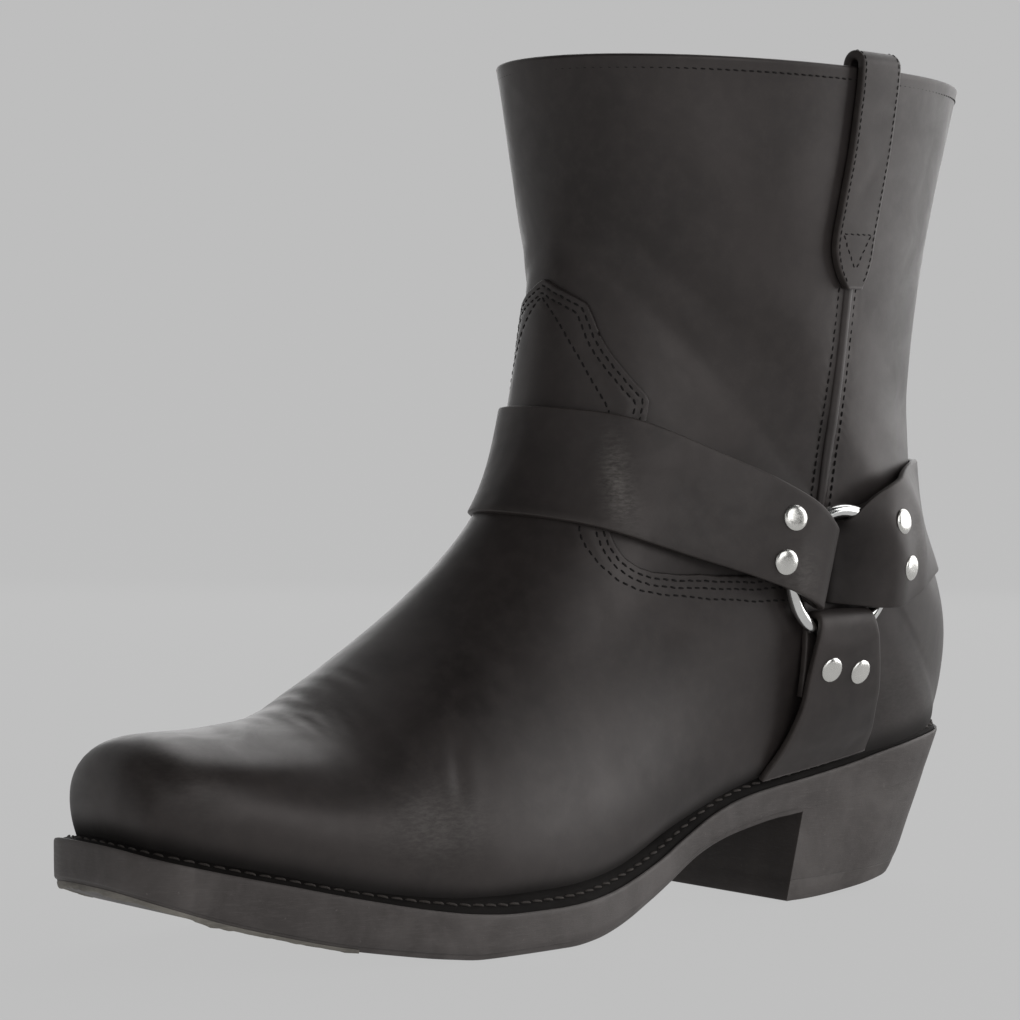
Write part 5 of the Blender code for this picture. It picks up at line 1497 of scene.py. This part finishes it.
# rubbed places on the straps: middle, reach, strength
RUBS = [((30.0, 143.2, 132.0), (7.0, 3.2, 11.0), 0.95), ((30.5, 141.5, 122.0), (7.0, 5.0, 6.0), 0.4),
        ((50.0, 92.0, 101.0), (9.0, 7.0, 9.0), 0.45), ((-31.0, 138.0, 134.0), (7.0, 6.0, 9.0), 0.5),
        ((46.0, 42.0, 112.0), (10.0, 9.0, 10.0), 0.4)]
# painted shade on the straps round each ring, where the folds turn into shadow: middle, reach, strength
PAINTED_RING_SHADE = [((49.0, 71.0, 104.0), (14.0, 11.0, 22.0), 0.85), ((-48.0, 71.0, 104.0), (14.0, 11.0, 22.0), 0.85)]
HEEL_SEEN = [Band(*r) for r in [
    (72.0, 92.6, 70.5, 118.0), (60.0, 91.2, 61.5, 125.2), (48.5, 91.8, 51.0, 130.0), (38.0, 95.2, 41.0, 133.0),
    (27.0, 98.2, 30.5, 134.6), (12.0, 100.4, 20.0, 135.2), (-14.0, 100.6, -8.0, 135.2)]]
for kind, table, n_run, rest in (("instep", INSTEP, 130, 1.7), ("heel", HEEL_SEEN, 130, 0.9)):
    rows_ = []
    for w in np.linspace(0, 1, ACROSS):
        a = fine_half(table, kind, 1, w, n_run, rest)
        b = fine_half(table, kind, -1, w, n_run, rest)
        rows_.append(np.vstack([a, b[::-1][1:]]))
    mid = tuck(ease(np.array(rows_), 3))
    if kind == "heel":
        # over the wire in a ridge, then down into the ring
        u = mid[..., 1]
        mid[..., 0] += np.sign(mid[..., 0]) * (0.5 * np.exp(-((u - 51.5) / 5.0) ** 2) - 3.4 * smooth(u, 54, 70))
    n = surface_normals(mid)
    c = mid.shape[1] // 2
    want = np.array([0, 1.0, 0]) if kind == "instep" else np.array([0, -1.0, 0])
    if (n[ACROSS // 2, c] * want).sum() < 0:
        n = -n
    ob = band(kind + "_strap_leather", mid, n, STRAP_T + 0.2, M_STRAP, bevel=0.55, scuffs=RUBS, painted_shades=PAINTED_RING_SHADE)
    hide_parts(kind + "_strap")
for side, label in ((1, "outer"), (-1, "inner")):
    mid = ease(np.array([fine_half(DOWN, "down", side, w, 60, 1.5) for w in np.linspace(0, 1, ACROSS)]), 3)
    mid = shorten(mid, side)
    n = surface_normals(mid)
    if n[ACROSS // 2, -10, 0] * side < 0:
        n = -n
    ob = band("sole_strap_leather_" + label, mid, n, STRAP_T + 0.2, M_STRAP, bevel=0.55)
    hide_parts("sole_strap_" + label)

for side, label in ((1, "outer"), (-1, "inner")):
    plane, nrm = ring_plane(side)
    th = 2 * np.pi * np.arange(24) / 24
    prof = [(RING_R + WIRE_R * math.cos(t), WIRE_R * math.sin(t)) for t in th]
    ob = turn_mesh("ring_wire_" + label, prof, 112, (float(plane(RING_U, RING_Z)), RING_U, RING_Z), nrm, M_CHROME,
                   closed=True, body="ring_" + label)
    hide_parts("ring_" + label)


def rivet_pose(node):
    """Seat and axis of a rivet, from the flat underside of its head."""
    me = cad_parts[node].data
    nn = np.array([p.normal[:] for p in me.polygons])
    ar = np.array([p.area for p in me.polygons])
    ce = np.array([p.center[:] for p in me.polygons])
    score = [(ar * ((nn @ v) > 0.9995)).sum() for v in nn]
    v = nn[int(np.argmax(score))]
    sel = (nn @ v) > 0.9995
    ids = np.unique([i for k in np.flatnonzero(sel) for i in me.polygons[int(k)].vertices])
    pts = np.array([me.vertices[int(i)].co[:] for i in ids])
    pts = pts[pts @ v < (pts @ v).min() + 0.0003]          # the head's side only
    far = np.linalg.norm(pts - pts.mean(0), axis=1) > 0.0025
    c = pts[far].mean(0)
    return (np.array([c[0] * 1000 + X_MID, U_MID - c[1] * 1000, c[2] * 1000]),
            np.array([-v[0], v[1], -v[2]]))


for node in [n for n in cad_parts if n.startswith("rivet_")]:
    at, axis = rivet_pose(node)
    H = 0.95
    if "heel" in node:
        at = at + 0.45 * axis                            # on the ridge of the visible strap
    prof = [(0.02, H), (0.85, H * 0.985), (1.7, H * 0.94), (2.45, H * 0.84), (3.05, H * 0.68), (3.48, H * 0.48),
            (3.73, H * 0.28), (3.86, 0.12), (3.9, 0.02), (3.84, -0.15), (1.3, -0.25), (1.3, -2.6)]
    ob = turn_mesh(node.replace("rivet", "rivet_head"), prof, 40, at, axis, M_NICKEL)
    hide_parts(node)

# ------------------------------------------------------------------ pull straps
PULL_SEEN = [Pull(*r) for r in [(187.6, 69.2, 2.9), (190.0, 69.6, 4.6), (194.0, 70.0, 6.6), (200.0, 70.2, 8.0),
                                (212.0, 68.5, 8.2), (230.0, 65.6, 8.2), (248.0, 64.2, 8.2)]]
LOOP = 1.2                          # rise of the loop over the collar


def pull_line(side, w, n1, n2, n3):
    z = np.linspace(PULL_SEEN[0].z, PULL_SEEN[-1].z, n1)
    mu = pchip([r.z for r in PULL_SEEN], [r.mid_u for r in PULL_SEEN])(z)
    hw = pchip([r.z for r in PULL_SEEN], [r.half for r in PULL_SEEN])(z)
    u = mu + hw * w
    leg = np.stack([side_x(u, z, side) + side * (0.5 + PULL_T / 2), u, z], 1)
    ue = u[-1]
    zt = SHAFT[-1].back_z + (SHAFT[-1].top_z - SHAFT[-1].back_z) * (ue - SHAFT[-1].back_u) / (
        SHAFT[-1].top_u - SHAFT[-1].back_u)
    xe = float(side_x(ue, zt - 0.4, side)) * side
    r = (WALL + PULL_T) / 2 + 0.6
    xc = xe - WALL / 2
    arch = np.array([(side * (xc + r * math.cos(t)), ue, zt + LOOP + r * math.sin(t))
                     for t in np.linspace(0, math.pi, n2)])
    zi = np.linspace(zt - 2.0, zt - PULL_DOWN, n3)
    xi = side_x(np.full(n3, ue), zi, side) * side - WALL - 0.75 - PULL_T / 2
    return np.vstack([leg, arch, np.stack([side * xi, np.full(n3, ue), zi], 1)])


pull_rows = []
for side, label in ((1, "outer"), (-1, "inner")):
    mid = np.array([pull_line(side, w, 60, 24, 24) for w in np.linspace(-1, 1, 13)])
    mid = ease(mid, 2)
    n = surface_normals(mid)
    if n[6, 20, 0] * side < 0:
        n = -n
    ob = band("pull_strap_leather_" + label, mid, n, PULL_T, M_PULL, bevel=0.5, soft=0.6)
    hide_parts("pull_strap_" + label)
    across = np.linalg.norm(mid[-1] - mid[0], axis=1)
    for sgn in (-1, 1):
        w = sgn * (1 - 2 * 1.05 / across)
        k = (w + 1) / 2 * 12
        i0 = np.clip(k.astype(int), 0, 11)
        t = (k - i0)[:, None]
        j = np.arange(mid.shape[1])
        p = mid[i0, j] * (1 - t) + mid[i0 + 1, j] * t
        nn = unit(n[i0, j] * (1 - t) + n[i0 + 1, j] * t)
        pull_rows.append(((p + nn * PULL_T / 2)[2:-2], nn[2:-2]))
    # box stitch: a bar across and a triangle to the tip
    def at_uv(col, w):
        k = (w + 1) / 2 * 12
        i0 = int(min(k, 11))
        t = k - i0
        p = mid[i0, col] * (1 - t) + mid[i0 + 1, col] * t
        m = unit(n[i0, col] * (1 - t) + n[i0 + 1, col] * t)
        return p + m * PULL_T / 2, m
    zz = mid[6, :60, 2]
    c_bar, c_tip = int(np.argmin(np.abs(zz - 203.5))), int(np.argmin(np.abs(zz - 193.5)))
    bar = [at_uv(c_bar, w) for w in np.linspace(-0.76, 0.76, 9)]
    pull_rows.append((np.array([b[0] for b in bar]), np.array([b[1] for b in bar])))
    for sgn in (-1, 1):
        cols = np.linspace(c_bar, c_tip, 9).round().astype(int)
        tri = [at_uv(int(c), sgn * 0.74 * (1 - i / 8.5)) for i, c in enumerate(cols)]
        pull_rows.append((np.array([b[0] for b in tri]), np.array([b[1] for b in tri])))
pull_sew = stitches("pull_stitches", pull_rows, M_THREAD, pitch=2.1, long=1.6, r=0.22, rise=0.03)

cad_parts["insole"].data.materials.clear()
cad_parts["insole"].data.materials.append(M_INSOLE)

# ------------------------------------------------------------- stage and camera
def backdrop():
    """Plain floor that rises in a soft sweep far behind."""
    m, b = new_material("floor_paint", (0.025, 0.025, 0.025), 0.9, 0.0, 0.0)
    b.inputs["Emission Color"].default_value = (1, 1, 1, 1)
    b.inputs["Emission Strength"].default_value = 0.508
    prof = [(-40.0, 0.0), (-4.0, 0.0), (1.6, 0.0)]
    prof += [(1.6 + 1.2 * math.sin(t), 1.2 - 1.2 * math.cos(t)) for t in np.linspace(0, math.pi / 2, 24)[1:]]
    prof += [(2.8, 5.0)]
    a = math.radians(51)
    back, across = Vector((-math.sin(a), math.cos(a), 0)), Vector((math.cos(a), math.sin(a), 0))
    v, f = [], []
    for d, z in prof:
        for s in (-30, 30):
            v.append(back * d + across * s + Vector((0, 0, z - 0.0004)))
    for i in range(len(prof) - 1):
        f.append((2 * i, 2 * i + 1, 2 * i + 3, 2 * i + 2))
    me = bpy.data.meshes.new("floor")
    me.from_pydata(v, [], f)
    me.shade_smooth()
    ob = bpy.data.objects.new("floor", me)
    me.materials.append(m)
    bpy.context.scene.collection.objects.link(ob)


backdrop()
AZ, EL = math.radians(51.0), math.radians(2.5)
toward = Vector((math.sin(AZ) * math.cos(EL), -math.cos(AZ) * math.cos(EL), math.sin(EL)))
aim = Vector((0.0, (U_MID - 150.0) / 1000, 0.115))
cam = bpy.data.cameras.new("camera")
cam.sensor_width, cam.lens = 36.0, 3345 * 36.0 / 1020
cam.shift_x, cam.shift_y = -(535.5 - 510) / 1020, (531.5 - 510) / 1020
cam.clip_start, cam.clip_end = 0.05, 60.0
co = bpy.data.objects.new("camera", cam)
co.location = aim + toward * 1.0
co.rotation_euler = (aim - co.location).to_track_quat("-Z", "Y").to_euler()
bpy.context.scene.collection.objects.link(co)
bpy.context.scene.camera = co


def area(name, at, to, size, power, colour=(1, 1, 1)):
    l = bpy.data.lights.new(name, "AREA")
    l.shape = "RECTANGLE"
    l.size, l.size_y = size
    l.energy = power
    l.color = colour
    o = bpy.data.objects.new(name, l)
    o.location = at
    o.rotation_euler = (Vector(to) - Vector(at)).to_track_quat("-Z", "Y").to_euler()
    bpy.context.scene.collection.objects.link(o)
    return o


right = Vector((math.cos(AZ), math.sin(AZ), 0))
ahead = Vector((-math.sin(AZ), math.cos(AZ), 0))          # away from the camera
mid = Vector((0, 0, 0.12))
# soft boxes: name, to the right, away from the camera, up, size, watts
for row in (("right_back", 1.2, 0.9, 0.45, (0.7, 1.2), 5.2), ("right_side", 1.4, 0.1, 0.5, (0.8, 1.2), 10.2),
            ("back_low", 0.15, 1.5, 0.55, (1.6, 0.8), 7.0), ("top_back", 0.45, 0.9, 1.35, (1.6, 0.8), 7.0),
            ("front_right", 0.9, -1.3, 0.8, (1.0, 1.0), 7.2), ("front_left", -0.9, -1.2, 0.7, (1.0, 1.0), 1.6),
            ("front_low", 0.1, -1.5, 0.25, (1.6, 0.5), 2.2)):
    area(row[0], right * row[1] + ahead * row[2] + Vector((0, 0, row[3])), mid, row[4], row[5])
world = bpy.data.worlds.new("studio")
world.use_nodes = True
world.node_tree.nodes["Background"].inputs["Color"].default_value = (0.75, 0.75, 0.75, 1)
world.node_tree.nodes["Background"].inputs["Strength"].default_value = 0.06
bpy.context.scene.world = world
bpy.context.scene.view_settings.view_transform = "Standard"
